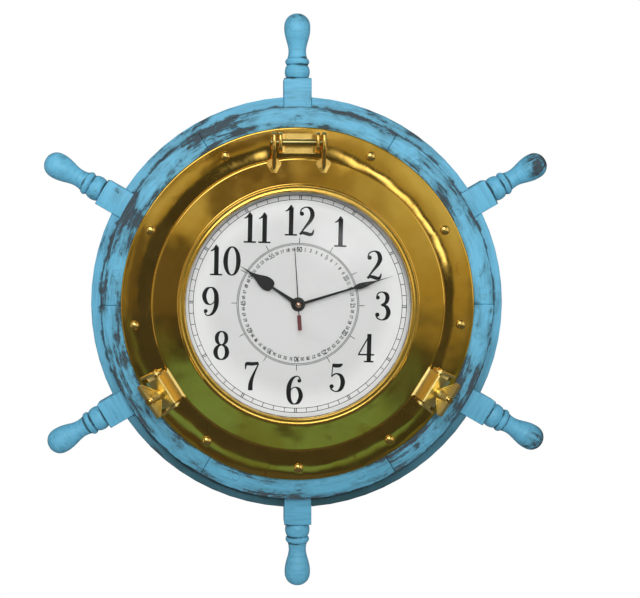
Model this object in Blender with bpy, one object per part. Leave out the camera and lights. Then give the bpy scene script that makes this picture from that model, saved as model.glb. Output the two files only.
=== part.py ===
"""Ship wheel clock: a painted wooden wheel with a brass porthole, whose hinged window closes over a dial.

Lengths are in metres and angles in degrees. Every piece is drawn in the wheel's own frame: X runs to the
viewer's right, Y up and Z out of the wall, with Z = 0 on the wall and the axis of the wheel at X = Y = 0.
The empty wheel_frame stands that frame up in the world, where +Z is up and the wall lies on the +Y side.
The world origin is the seat of the nail in the hanger. Angles round the wheel run clockwise from 12 o'clock.
"""

import math

import bmesh
import bpy
from mathutils import Matrix, Vector

# Fits and facets
SEAT_GAP = 0.0003
RUNNING_GAP = 0.0003
CUT_OVERRUN = 0.002
WELD_DISTANCE = 0.000001
RING_STEPS = 60
SMALL_STEPS = 12
SMOOTH_ANGLE = 35

# Wooden wheel: a rear ring, a core of spokes with felloes between them, and a face ring of butted felloes
SPOKE_COUNT = 6
CORE_MARGIN = 0.011
FACE_RING_MARGIN = 0.021
LEDGE_WIDTH = 0.008
REAR_RING_THICKNESS = 0.010
CORE_THICKNESS = 0.0277
FACE_RING_THICKNESS = 0.0117
WOOD_EASING = 0.0012
FELLOE_STEPS = 10

# Turned spoke handle, with its square shank
SPOKE_WIDTH = 0.029
SHANK_PROUD = 0.0195
HANDLE_LENGTH = 0.068
HANDLE_RADIUS = 0.0137
SHANK_EASING = 0.001
HANDLE_STEPS = 16
HANDLE_PROFILE_SHARES = (
    (0.000, 0.79),
    (0.100, 0.965),
    (0.190, 0.89),
    (0.215, 0.80),
    (0.235, 0.90),
    (0.285, 0.90),
    (0.330, 0.745),
    (0.430, 0.670),
    (0.550, 0.795),
    (0.640, 0.92),
    (0.770, 1.00),
    (0.850, 0.97),
    (0.920, 0.795),
    (0.985, 0.45),
)

# Hanger plate let into the back of the rear ring
HANGER_LENGTH = 0.040
HANGER_WIDTH = 0.018
HANGER_THICKNESS = 0.0015
NAIL_SEAT_INSET = 0.0255
NAIL_SLOT_WIDTH = 0.0046
KEYHOLE_RADIUS = 0.0048
KEYHOLE_DROP = 0.0095
NAIL_POCKET_DEPTH = 0.006
NAIL_POCKET_MARGIN = 0.0025

# Brass flange of the porthole, screwed to the face ring
FLANGE_MARGIN = 0.0315
FLANGE_THICKNESS = 0.003
FLANGE_EDGE_ROUND = 0.0018
FLANGE_BORE_INSET = 0.013
SPIGOT_WALL = 0.0027
SPIGOT_CLEARANCE = 0.0013

# Domed flange screws
SCREW_INSET = 0.013
SCREW_ANGLES = (26, 63, 97, 146, 180, 214, 263, 297, 334)
SCREW_HEAD_RADIUS = 0.00475
SCREW_HEAD_HEIGHT = 0.0026
SCREW_SHANK_RADIUS = 0.0019
SCREW_REACH = 0.0085
SCREW_STEPS = 10

# Window frame: a brass shell with a double bead round its opening
OPENING_RADIUS = 0.1172
BEAD_WIDTH = 0.0092
BAND_WIDTH = 0.0266
WINDOW_WALL = 0.0028
SKIRT_HEIGHT = 0.008
SKIRT_ROUND = 0.0024
SKIRT_ROUND_SHARE = 0.29
BAND_RISE = 0.001
BEAD_HEIGHT = 0.0027
BEAD_PROFILE_SHARES = (
    (0.07, 0.60),
    (0.22, 0.96),
    (0.39, 0.60),
    (0.57, 1.00),
    (0.78, 0.62),
    (1.00, -0.15),
)
LIP_THICKNESS = 0.0017
GLASS_SEAT_WIDTH = 0.0056
REBATE_DEPTH = 0.0056

# Glass and its gasket
GLASS_THICKNESS = 0.0025
GASKET_THICKNESS = 0.002

# Hinge at 12 o'clock
HINGE_SETBACK = 0.015
HINGE_PIN_RADIUS = 0.0031
HINGE_PIN_HEIGHT = 0.0147
HINGE_BASE_THICKNESS = 0.0025
HINGE_BASE_INSIDE = 0.011
HINGE_BASE_OUTSIDE = 0.013
EAR_INNER_HALF_WIDTH = 0.017
EAR_THICKNESS = 0.0042
EAR_EYE_RADIUS = 0.008
EAR_FOOT_HALF_LENGTH = 0.0105
ARM_SIDE_CLEARANCE = 0.0011
ARM_THICKNESS = 0.0055
ARM_EYE_RADIUS = 0.009
ARM_FOOT_INSET = 0.016
ARM_HEEL_INSET = 0.003
ARM_TOE_HEIGHT = 0.0022
ARM_HEEL_HEIGHT = 0.0075
ARM_THROAT_HEIGHT = 0.0072
ARM_FOOT_FLARE = 0.0035
PIN_END_OVERHANG = 0.0015
PIN_END_ROUND = 0.0008

# Dogs: a slotted lug on the window, and a swing bolt and wing nut carried by a yoke on the flange
DOG_ANGLES = {"left": -122, "right": 122}
DOG_LEAN = 35
DOG_PIVOT_SETBACK = 0.010
DOG_PIN_RADIUS = 0.0025
BOLT_EYE_RADIUS = 0.0042
BOLT_EYE_WIDTH = 0.009
BOLT_RADIUS = 0.003
BOLT_END_OVERHANG = 0.0008
YOKE_BASE_THICKNESS = 0.0018
YOKE_WALL = 0.0025
YOKE_SIDE_CLEARANCE = 0.0012
YOKE_SPLAY = 9
YOKE_INSIDE = 0.007
YOKE_LENGTH = 0.024
YOKE_BASE_LENGTH = 0.0185
YOKE_EAR_RADIUS = 0.0064
YOKE_INNER_HEIGHT = 0.0055
YOKE_OUTER_HEIGHT = 0.0035
LUG_HALF_WIDTH = 0.0158
LUG_FOOT_FLARE = 0.0025
LUG_THICKNESS = 0.003
LUG_SADDLE_RADIUS = 0.014
LUG_CREST_RUN = 0.0125
LUG_CREST_INSIDE_RUN = 0.0095
LUG_FOOT_INSET = 0.0031
LUG_TOE_HEIGHT = 0.0016
LUG_HOOK_THICKNESS = 0.0021
LUG_HOOK_DROP = 0.0052
LUG_NOSE_TURN = 50
LUG_NOSE_STEPS = 5
# riser above and below, as shares of the way from the toe to the crest, outwards and up
LUG_RISER_SHARES = ((0.07, 0.02), (0.27, 0.17), (0.54, 0.46), (0.79, 0.80))
LUG_UNDERSIDE_SHARES = ((0.86, 0.47), (0.64, 0.18), (0.49, 0.0))
LUG_SLOT_WIDTH = 0.0086

# Wing nut, measured along its bolt from the saddle
NUT_HEIGHT = 0.0195
NUT_HALF_SPAN = 0.0192
NUT_HUB_RADIUS = 0.0055
NUT_HUB_HEIGHT = 0.008
NUT_RIB_RADIUS = 0.0046
NUT_RIB_HEIGHT = 0.017
NUT_HUB_SHOULDER_SHARE = 0.65
NUT_WING_THICKNESS = 0.0042
NUT_WING_TIP_HEIGHT = 0.0042
NUT_WING_FOOT_HEIGHT = 0.0008
NUT_WING_FOOT_HALF_WIDTH = 0.0049

# Dial
BOARD_THICKNESS = 0.003
CARD_THICKNESS = 0.0005

# Quartz movement behind the dial
CASE_WIDTH = 0.056
CASE_CORNER_ROUND = 0.004
CASE_BACK_ROUND = 0.001
BAY_WALL = 0.0009
BATTERY_LENGTH = 0.0495
BATTERY_RADIUS = 0.00725
BATTERY_NUB_RADIUS = 0.0027
BATTERY_NUB_LENGTH = 0.0012
BAY_EDGE_MARGIN = 0.0018
BUSH_RADIUS = 0.004
BUSH_LENGTH = 0.0073
HOLE_CLEARANCE = 0.0004
WASHER_RADIUS = 0.0075
WASHER_THICKNESS = 0.0006
SHAFT_NUT_WIDTH = 0.011
SHAFT_NUT_THICKNESS = 0.002
KNOB_RADIUS = 0.0065
KNOB_THICKNESS = 0.004
KNOB_FLUTES = 14
KNOB_FLUTE_DEPTH = 0.0006
KNOB_OFFSET = 0.014
KNOB_STEM_RADIUS = 0.0016
KNOB_STEM_LENGTH = 0.003

# Hands, with their collets one inside the other
HAND_ANGLES = {"hour_hand": 304, "minute_hand": 73.3, "second_hand": 356.4}
HAND_THICKNESS = 0.0006
HAND_SPACING = 0.0013
HOUR_LENGTH = 0.0753
HOUR_BOSS_RADIUS = 0.0066
HOUR_PIPE_RADIUS = 0.0026
HOUR_WIDTH = 0.0140
HOUR_SHARES = (
    (0.41, 0.00),
    (0.21, 0.41),
    (0.45, 0.432),
    (0.80, 0.466),
    (0.97, 0.505),
    (0.99, 0.545),
    (0.88, 0.585),
    (0.58, 0.645),
    (0.30, 0.715),
    (0.12, 0.80),
    (0.00, 1.00),
)
MINUTE_LENGTH = 0.1056
MINUTE_BOSS_RADIUS = 0.0056
MINUTE_PIPE_RADIUS = 0.0017
MINUTE_WIDTH = 0.0063
MINUTE_SHARES = (
    (0.50, 0.00),
    (0.34, 0.58),
    (0.80, 0.61),
    (1.00, 0.645),
    (0.75, 0.71),
    (0.25, 0.80),
    (0.00, 1.00),
)
SECOND_LENGTH = 0.0606
SECOND_ARBOR_RADIUS = 0.0007
SECOND_WIDTH = 0.0042
SECOND_SHARES = ((1.00, -0.444), (1.00, -0.18), (0.32, -0.14), (0.32, 0.00), (0.14, 1.00))
CAP_RADIUS = 0.0029
CAP_HEIGHT = 0.0016
BOSS_THICKNESS = 0.0009

# Where each layer lies, out from the wall
CORE_BACK = REAR_RING_THICKNESS + SEAT_GAP
CORE_FRONT = CORE_BACK + CORE_THICKNESS
FACE_BACK = CORE_FRONT + SEAT_GAP
FACE_FRONT = FACE_BACK + FACE_RING_THICKNESS
FLANGE_BACK = FACE_FRONT + SEAT_GAP
FLANGE_FRONT = FLANGE_BACK + FLANGE_THICKNESS
WINDOW_SEAT = FLANGE_FRONT + SEAT_GAP
BAND_EDGE_HEIGHT = WINDOW_SEAT + SKIRT_HEIGHT
BEAD_FOOT_HEIGHT = BAND_EDGE_HEIGHT + BAND_RISE
LIP_BACK = BEAD_FOOT_HEIGHT + BEAD_HEIGHT * BEAD_PROFILE_SHARES[-1][1] - LIP_THICKNESS
GLASS_FRONT = LIP_BACK - SEAT_GAP
GLASS_BACK = GLASS_FRONT - GLASS_THICKNESS
BOARD_BACK = CORE_FRONT + SEAT_GAP
BOARD_FRONT = BOARD_BACK + BOARD_THICKNESS
CARD_BACK = BOARD_FRONT + SEAT_GAP
CARD_FRONT = CARD_BACK + CARD_THICKNESS
CASE_FRONT = BOARD_BACK - SEAT_GAP
CASE_THICKNESS = 2 * BATTERY_RADIUS + 2 * SEAT_GAP + BAY_WALL
CASE_BACK = CASE_FRONT - CASE_THICKNESS
BUSH_FRONT = CASE_FRONT + SEAT_GAP + BUSH_LENGTH

# Where each ring ends: outwards from the opening of the window to the ends of the handles
BEAD_OUTER_RADIUS = OPENING_RADIUS + BEAD_WIDTH
GLASS_REBATE_RADIUS = OPENING_RADIUS + GLASS_SEAT_WIDTH
WINDOW_RADIUS = BEAD_OUTER_RADIUS + BAND_WIDTH
FLANGE_BORE_RADIUS = WINDOW_RADIUS - FLANGE_BORE_INSET
FLANGE_RADIUS = WINDOW_RADIUS + FLANGE_MARGIN
SCREW_CIRCLE_RADIUS = FLANGE_RADIUS - SCREW_INSET
RING_BORE_RADIUS = FLANGE_BORE_RADIUS + SPIGOT_WALL + SPIGOT_CLEARANCE
CORE_BORE_RADIUS = RING_BORE_RADIUS - LEDGE_WIDTH
FACE_RING_RADIUS = FLANGE_RADIUS + FACE_RING_MARGIN
NAIL_SEAT_RADIUS = FACE_RING_RADIUS - NAIL_SEAT_INSET
CORE_RADIUS = FACE_RING_RADIUS + CORE_MARGIN
SHANK_END = CORE_RADIUS + SHANK_PROUD
WHEEL_RADIUS = SHANK_END + HANDLE_LENGTH
HINGE_RADIUS = WINDOW_RADIUS + HINGE_SETBACK
ARM_FOOT_RADIUS = WINDOW_RADIUS - ARM_FOOT_INSET
ARM_HEEL_RADIUS = WINDOW_RADIUS - ARM_HEEL_INSET
DOG_PIVOT_RADIUS = WINDOW_RADIUS + DOG_PIVOT_SETBACK
YOKE_INNER_RADIUS = DOG_PIVOT_RADIUS - YOKE_INSIDE
LUG_FOOT_RADIUS = WINDOW_RADIUS - LUG_FOOT_INSET


def clear_scene():
    for item in list(bpy.data.objects):
        bpy.data.objects.remove(item, do_unlink=True)


def finish(name, color, roughness, metallic=0.0, alpha=1.0):
    """A plain material, with the piece's own colour, roughness and metal."""
    material = bpy.data.materials.new(name)
    material.use_nodes = True
    shader = material.node_tree.nodes["Principled BSDF"]
    shader.inputs["Base Color"].default_value = (*color, 1.0)
    shader.inputs["Roughness"].default_value = roughness
    shader.inputs["Metallic"].default_value = metallic
    shader.inputs["Alpha"].default_value = alpha
    material.diffuse_color = (*color, alpha)
    return material


def empty(name, parent=None, location=(0, 0, 0), rotation=(0, 0, 0)):
    """A frame for pieces to stand in; rotation is in degrees."""
    made = bpy.data.objects.new(name, None)
    bpy.context.scene.collection.objects.link(made)
    made.parent = parent
    made.location = location
    made.rotation_euler = [math.radians(a) for a in rotation]
    return made


def add_object(name, mesh, material, parent, location=(0, 0, 0), rotation=(0, 0, 0)):
    made = bpy.data.objects.new(name, mesh)
    bpy.context.scene.collection.objects.link(made)
    made.parent = parent
    made.location = location
    made.rotation_euler = [math.radians(a) for a in rotation]
    if material and not mesh.materials:
        mesh.materials.append(material)
    return made


def to_mesh(name, bm, smooth=False):
    bmesh.ops.recalc_face_normals(bm, faces=bm.faces)
    mesh = bpy.data.meshes.new(name)
    bm.to_mesh(mesh)
    bm.free()
    if smooth:
        mesh.shade_smooth()
        mesh.set_sharp_from_angle(angle=math.radians(SMOOTH_ANGLE))
    return mesh


def turned(profile, steps, closed=False):
    """A piece turned round Z from (radius, height) points; a closed profile makes a ring."""
    bm = bmesh.new()
    points = [bm.verts.new((radius, 0, height)) for radius, height in profile]
    pairs = list(zip(points, points[1:]))
    if closed:
        pairs.append((points[-1], points[0]))
    edges = [bm.edges.new(pair) for pair in pairs]
    bmesh.ops.spin(
        bm, geom=points + edges, axis=(0, 0, 1), cent=(0, 0, 0), angle=math.tau, steps=steps, use_merge=True
    )
    bmesh.ops.remove_doubles(bm, verts=bm.verts, dist=WELD_DISTANCE)
    return bm


def extruded(outline, bottom, top):
    """A plate whose (x, y) outline runs from height bottom to height top."""
    bm = bmesh.new()
    face = bm.faces.new([bm.verts.new((x, y, bottom)) for x, y in outline])
    made = bmesh.ops.extrude_face_region(bm, geom=[face])["geom"]
    raised = [item for item in made if isinstance(item, bmesh.types.BMVert)]
    bmesh.ops.translate(bm, verts=raised, vec=(0, 0, top - bottom))
    return bm


def side_profile(outline, half_width):
    """A plate drawn from the side, as (y, z) points, and as thick as twice half_width across X."""
    bm = extruded(outline, -half_width, half_width)
    # (x, y, z) of the drawing becomes (y, z, x) of the piece
    turn = Matrix(((0, 0, 1, 0), (1, 0, 0, 0), (0, 1, 0, 0), (0, 0, 0, 1)))
    bmesh.ops.transform(bm, matrix=turn, verts=bm.verts)
    return bm


def block(x, y, z):
    """A box from three (low, high) pairs."""
    return extruded(((x[0], y[0]), (x[1], y[0]), (x[1], y[1]), (x[0], y[1])), z[0], z[1])


def arc(centre, radius, start, end, steps):
    """Points from one angle to another, both measured from +Y towards +X."""
    angles = [math.radians(start + (end - start) * i / steps) for i in range(steps + 1)]
    return [(centre[0] + radius * math.sin(a), centre[1] + radius * math.cos(a)) for a in angles]


def round_hole(radius, bottom, top, centre=(0, 0), steps=SMALL_STEPS):
    """A straight round cutter along Z."""
    bm = turned([(0, bottom), (radius, bottom), (radius, top), (0, top)], steps)
    bmesh.ops.translate(bm, verts=bm.verts, vec=(centre[0], centre[1], 0))
    return bm


def across(bm):
    """Lays a piece that was turned round Z along X."""
    bmesh.ops.transform(bm, matrix=Matrix.Rotation(math.radians(90), 4, "Y"), verts=bm.verts)
    return bm


def lay_along_y(bm):
    """Lays a piece that was drawn along Z out along Y, towards 12 o'clock."""
    bmesh.ops.transform(bm, matrix=Matrix.Rotation(math.radians(-90), 4, "X"), verts=bm.verts)


def shape(target, tool, operation="DIFFERENCE"):
    """Cuts a target with a hidden tool, or joins the tool to it."""
    tool.hide_render = True
    tool.display_type = "WIRE"
    modifier = target.modifiers.new(tool.name, "BOOLEAN")
    modifier.operation = operation
    modifier.solver = "EXACT"
    modifier.object = tool


def add_tool(name, bm, parent, location=(0, 0, 0), rotation=(0, 0, 0)):
    return add_object(name, to_mesh(name, bm), None, parent, location, rotation)


def ease(bm, width, wanted, segments=1):
    """Takes the arris off the edges that wanted picks, or rounds them with more segments."""
    edges = [edge for edge in bm.edges if wanted(edge)]
    bmesh.ops.bevel(
        bm, geom=edges, offset=width, offset_type="OFFSET", segments=segments, profile=0.5, affect="EDGES"
    )


def at_height(edge, height):
    return all(abs(vert.co.z - height) < WELD_DISTANCE for vert in edge.verts)


def felloe_outline(inner, outer, start, end, end_offset):
    """An arc of rim between two spoke lines, each end cut parallel to its line at end_offset from it."""
    outer_turn = math.degrees(math.asin(end_offset / outer))
    inner_turn = math.degrees(math.asin(end_offset / inner))
    outside = arc((0, 0), outer, start + outer_turn, end - outer_turn, FELLOE_STEPS)
    inside = arc((0, 0), inner, end - inner_turn, start + inner_turn, FELLOE_STEPS)
    return outside + inside


def screw_hole_cutter(parent):
    """All the screw holes of the flange in one tool, which also bores the wood below it."""
    bottom = FACE_FRONT - SCREW_REACH - SEAT_GAP
    joined = bmesh.new()
    for angle in SCREW_ANGLES:
        turn = math.radians(angle)
        centre = (SCREW_CIRCLE_RADIUS * math.sin(turn), SCREW_CIRCLE_RADIUS * math.cos(turn))
        hole = round_hole(
            SCREW_SHANK_RADIUS + RUNNING_GAP, bottom, FLANGE_FRONT + CUT_OVERRUN, centre, SCREW_STEPS
        )
        scratch = to_mesh("screw_hole", hole)
        joined.from_mesh(scratch)
        bpy.data.meshes.remove(scratch)
    return add_tool("screw_hole_cutter", joined, parent)


def make_spokes(wheel, paint):
    """Six spokes, each a square shank through the rim and a handle turned from the same stick."""
    half = SPOKE_WIDTH / 2
    depth = CORE_THICKNESS / 2
    bm = block((-half, half), (-depth, depth), (CORE_BORE_RADIUS, SHANK_END))
    ease(bm, SHANK_EASING, lambda edge: at_height(edge, SHANK_END))
    lay_along_y(bm)
    shank = to_mesh("shank", bm)
    profile = [
        (HANDLE_RADIUS * wide, SHANK_END + HANDLE_LENGTH * along) for along, wide in HANDLE_PROFILE_SHARES
    ]
    root = SHANK_END - SPOKE_WIDTH
    bm = turned([(0, root), (profile[0][0], root), *profile, (0, WHEEL_RADIUS)], HANDLE_STEPS)
    lay_along_y(bm)
    handle = to_mesh("handle", bm, smooth=True)
    for i in range(SPOKE_COUNT):
        place = (0, 0, CORE_BACK + depth)
        turn = (0, 0, -360 / SPOKE_COUNT * i)
        spoke = add_object(f"spoke_handle_{i + 1}", shank, paint, wheel, place, turn)
        shape(spoke, add_object(f"handle_turning_{i + 1}", handle, None, wheel, place, turn), "UNION")


def make_core_felloes(wheel, paint):
    """The felloes of the core butt against the flat sides of the spokes."""
    pitch = 360 / SPOKE_COUNT
    outline = felloe_outline(CORE_BORE_RADIUS, CORE_RADIUS, 0, pitch, SPOKE_WIDTH / 2 + SEAT_GAP)
    bm = extruded(outline, CORE_BACK, CORE_FRONT)
    ease(
        bm,
        WOOD_EASING,
        lambda edge: (at_height(edge, CORE_BACK) or at_height(edge, CORE_FRONT))
        and all(vert.co.xy.length > CORE_RADIUS - WELD_DISTANCE for vert in edge.verts),
    )
    mesh = to_mesh("core_felloe", bm)
    for i in range(SPOKE_COUNT):
        add_object(f"core_felloe_{i + 1}", mesh, paint, wheel, rotation=(0, 0, -pitch * i))


def make_face_felloes(wheel, paint, screw_holes):
    """The felloes of the face ring are centred on the spokes and butt together between them."""
    pitch = 360 / SPOKE_COUNT
    for i in range(SPOKE_COUNT):
        outline = felloe_outline(
            RING_BORE_RADIUS, FACE_RING_RADIUS, pitch * (i - 0.5), pitch * (i + 0.5), SEAT_GAP / 2
        )
        bm = extruded(outline, FACE_BACK, FACE_FRONT)
        ease(
            bm,
            WOOD_EASING,
            lambda edge: at_height(edge, FACE_FRONT)
            and all(vert.co.xy.length > FACE_RING_RADIUS - WELD_DISTANCE for vert in edge.verts),
        )
        felloe = add_object(f"face_felloe_{i + 1}", to_mesh("face_felloe", bm), paint, wheel)
        shape(felloe, screw_holes)


def make_rear_ring(wheel, paint):
    """The rear ring lies on the wall. The hanger is let into it, over a pocket for the head of the nail."""
    profile = (
        (FACE_RING_RADIUS, REAR_RING_THICKNESS),
        (FACE_RING_RADIUS, WOOD_EASING),
        (FACE_RING_RADIUS - WOOD_EASING, 0),
        (RING_BORE_RADIUS, 0),
        (RING_BORE_RADIUS, REAR_RING_THICKNESS),
    )
    mesh = to_mesh("rear_ring", turned(profile, RING_STEPS, closed=True))
    ring = add_object("rear_ring", mesh, paint, wheel)
    half_width = HANGER_WIDTH / 2 + SEAT_GAP
    half_length = HANGER_LENGTH / 2 + SEAT_GAP
    centre = hanger_centre()
    mortise = block(
        (-half_width, half_width),
        (centre - half_length, centre + half_length),
        (-CUT_OVERRUN, HANGER_THICKNESS + SEAT_GAP),
    )
    shape(ring, add_tool("hanger_mortise", mortise, wheel))
    reach = KEYHOLE_RADIUS + NAIL_POCKET_MARGIN
    low = NAIL_SEAT_RADIUS - KEYHOLE_DROP - reach
    high = NAIL_SEAT_RADIUS + NAIL_SLOT_WIDTH / 2 + NAIL_POCKET_MARGIN
    pocket = block((-reach, reach), (low, high), (-CUT_OVERRUN, HANGER_THICKNESS + NAIL_POCKET_DEPTH))
    shape(ring, add_tool("nail_pocket", pocket, wheel))


def hanger_centre():
    """The plate is centred on the length of its keyhole."""
    return NAIL_SEAT_RADIUS - KEYHOLE_DROP / 2


def make_hanger(wheel, steel):
    """A flush plate with a keyhole: the nail's head enters below and its shank seats in the slot above."""
    centre = hanger_centre()
    half_width = HANGER_WIDTH / 2
    half_length = HANGER_LENGTH / 2
    plate = block(
        (-half_width, half_width), (centre - half_length, centre + half_length), (0, HANGER_THICKNESS)
    )
    hanger = add_object("hanger_plate", to_mesh("hanger_plate", plate), steel, wheel)
    slot = NAIL_SLOT_WIDTH / 2
    drop = NAIL_SEAT_RADIUS - KEYHOLE_DROP
    spread = math.degrees(math.asin(slot / KEYHOLE_RADIUS))
    outline = arc((0, NAIL_SEAT_RADIUS), slot, -90, 90, SMALL_STEPS // 2)
    outline += arc((0, drop), KEYHOLE_RADIUS, spread, 360 - spread, SMALL_STEPS)
    keyhole = extruded(outline, -CUT_OVERRUN, HANGER_THICKNESS + CUT_OVERRUN)
    shape(hanger, add_tool("keyhole_cutter", keyhole, wheel))


def make_flange(wheel, brass, screw_holes):
    """A flat ring with a rounded edge, and a spigot that holds the rim of the dial board on its ledge."""
    edge = FLANGE_RADIUS
    round_off = FLANGE_EDGE_ROUND
    spigot_radius = FLANGE_BORE_RADIUS + SPIGOT_WALL
    spigot_end = BOARD_FRONT + SEAT_GAP
    corner = [
        (edge - round_off + y, FLANGE_FRONT - round_off + x)
        for x, y in arc((0, 0), round_off, 0, 90, 3)
    ]
    profile = [
        (edge, FLANGE_BACK),
        *corner,
        (FLANGE_BORE_RADIUS, FLANGE_FRONT),
        (FLANGE_BORE_RADIUS, spigot_end),
        (spigot_radius, spigot_end),
        (spigot_radius, FLANGE_BACK),
    ]
    mesh = to_mesh("porthole_flange", turned(profile, RING_STEPS, closed=True), smooth=True)
    flange = add_object("porthole_flange", mesh, brass, wheel)
    shape(flange, screw_holes)


def make_flange_screws(wheel, brass):
    under_head = FLANGE_FRONT + SEAT_GAP
    dome = [
        (SCREW_HEAD_RADIUS * x, under_head + SCREW_HEAD_HEIGHT * y) for x, y in arc((0, 0), 1, 0, 80, 3)
    ]
    dome[0] = (0, under_head + SCREW_HEAD_HEIGHT)
    profile = [
        *dome,
        (SCREW_HEAD_RADIUS, under_head),
        (SCREW_SHANK_RADIUS, under_head),
        (SCREW_SHANK_RADIUS, FACE_FRONT - SCREW_REACH),
        (0, FACE_FRONT - SCREW_REACH),
    ]
    mesh = to_mesh("flange_screw", turned(profile, SCREW_STEPS), smooth=True)
    for i, angle in enumerate(SCREW_ANGLES):
        turn = math.radians(angle)
        place = (SCREW_CIRCLE_RADIUS * math.sin(turn), SCREW_CIRCLE_RADIUS * math.cos(turn), 0)
        add_object(f"flange_screw_{i + 1}", mesh, brass, wheel, location=place)


def band_height(radius):
    """Height of the window frame's front band, which rises gently towards the bead."""
    edge = WINDOW_RADIUS - SKIRT_ROUND
    return BAND_EDGE_HEIGHT + BAND_RISE * (edge - radius) / (edge - BEAD_OUTER_RADIUS)


def make_window(window, brass, glass, rubber):
    """The window: a pressed frame, a pane behind the lip of its opening, and the gasket behind the pane."""
    corner = SKIRT_ROUND * SKIRT_ROUND_SHARE
    inner_wall = GLASS_REBATE_RADIUS + WINDOW_WALL
    skirt_inside = WINDOW_RADIUS - WINDOW_WALL
    bead = [
        (BEAD_OUTER_RADIUS - BEAD_WIDTH * along, BEAD_FOOT_HEIGHT + BEAD_HEIGHT * up)
        for along, up in BEAD_PROFILE_SHARES
    ]
    profile = (
        (WINDOW_RADIUS, WINDOW_SEAT),
        (WINDOW_RADIUS, BAND_EDGE_HEIGHT - SKIRT_ROUND),
        (WINDOW_RADIUS - corner, BAND_EDGE_HEIGHT - corner),
        (WINDOW_RADIUS - SKIRT_ROUND, BAND_EDGE_HEIGHT),
        (BEAD_OUTER_RADIUS, BEAD_FOOT_HEIGHT),
        *bead,
        (OPENING_RADIUS, LIP_BACK),
        (GLASS_REBATE_RADIUS, LIP_BACK),
        (GLASS_REBATE_RADIUS, LIP_BACK - REBATE_DEPTH),
        (inner_wall, LIP_BACK - REBATE_DEPTH),
        (inner_wall, band_height(inner_wall) - WINDOW_WALL),
        (skirt_inside, band_height(skirt_inside) - WINDOW_WALL),
        (skirt_inside, WINDOW_SEAT),
    )
    drop = window.location
    mesh = to_mesh("window_frame", turned(profile, RING_STEPS, closed=True), smooth=True)
    add_object("window_frame", mesh, brass, window, location=-drop)

    pane_radius = GLASS_REBATE_RADIUS - SEAT_GAP
    edge = [(0, GLASS_BACK), (pane_radius, GLASS_BACK), (pane_radius, GLASS_FRONT), (0, GLASS_FRONT)]
    pane = turned(edge, RING_STEPS)
    bmesh.ops.dissolve_limit(pane, angle_limit=math.radians(1), verts=pane.verts, edges=pane.edges)
    add_object("window_glass", to_mesh("window_glass", pane), glass, window, location=-drop)

    top = GLASS_BACK - SEAT_GAP
    gasket = (
        (pane_radius, top),
        (pane_radius, top - GASKET_THICKNESS),
        (OPENING_RADIUS, top - GASKET_THICKNESS),
        (OPENING_RADIUS, top),
    )
    ring = to_mesh("glass_gasket", turned(gasket, RING_STEPS, closed=True), smooth=True)
    add_object("glass_gasket", ring, rubber, window, location=-drop)


def pin_profile(radius, half_length):
    """A plain pin with rounded ends."""
    tip = radius - PIN_END_ROUND
    return [
        (0, -half_length),
        (tip, -half_length),
        (radius, -half_length + PIN_END_ROUND),
        (radius, half_length - PIN_END_ROUND),
        (tip, half_length),
        (0, half_length),
    ]


def hinge_pin_height():
    return FLANGE_FRONT + HINGE_PIN_HEIGHT


def make_hinge_base(wheel, brass):
    """Two ears on a plate, brazed to the flange, which carry the hinge pin."""
    outside = EAR_INNER_HALF_WIDTH + EAR_THICKNESS
    foot = FLANGE_FRONT + SEAT_GAP
    plate = block(
        (-outside, outside),
        (HINGE_RADIUS - HINGE_BASE_INSIDE, HINGE_RADIUS + HINGE_BASE_OUTSIDE),
        (foot, foot + HINGE_BASE_THICKNESS),
    )
    base = add_object("hinge_base", to_mesh("hinge_base", plate, smooth=True), brass, wheel)
    pin = (HINGE_RADIUS, hinge_pin_height())
    eye = arc(pin, EAR_EYE_RADIUS, -80, 80, 6)
    outline = [
        (HINGE_RADIUS - EAR_FOOT_HALF_LENGTH, foot + HINGE_BASE_THICKNESS / 2),
        *eye,
        (HINGE_RADIUS + EAR_FOOT_HALF_LENGTH, foot + HINGE_BASE_THICKNESS / 2),
    ]
    for side, sign in (("left", -1), ("right", 1)):
        ear = side_profile(outline, EAR_THICKNESS / 2)
        middle = sign * (EAR_INNER_HALF_WIDTH + EAR_THICKNESS / 2)
        shape(base, add_tool(f"hinge_ear_{side}", ear, wheel, location=(middle, 0, 0)), "UNION")
    bore = across(round_hole(HINGE_PIN_RADIUS + RUNNING_GAP, -outside - CUT_OVERRUN, outside + CUT_OVERRUN))
    shape(base, add_tool("hinge_bore", bore, wheel, location=(0, HINGE_RADIUS, hinge_pin_height())))


def arm_inner_half_width():
    return EAR_INNER_HALF_WIDTH + EAR_THICKNESS + ARM_SIDE_CLEARANCE


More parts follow.
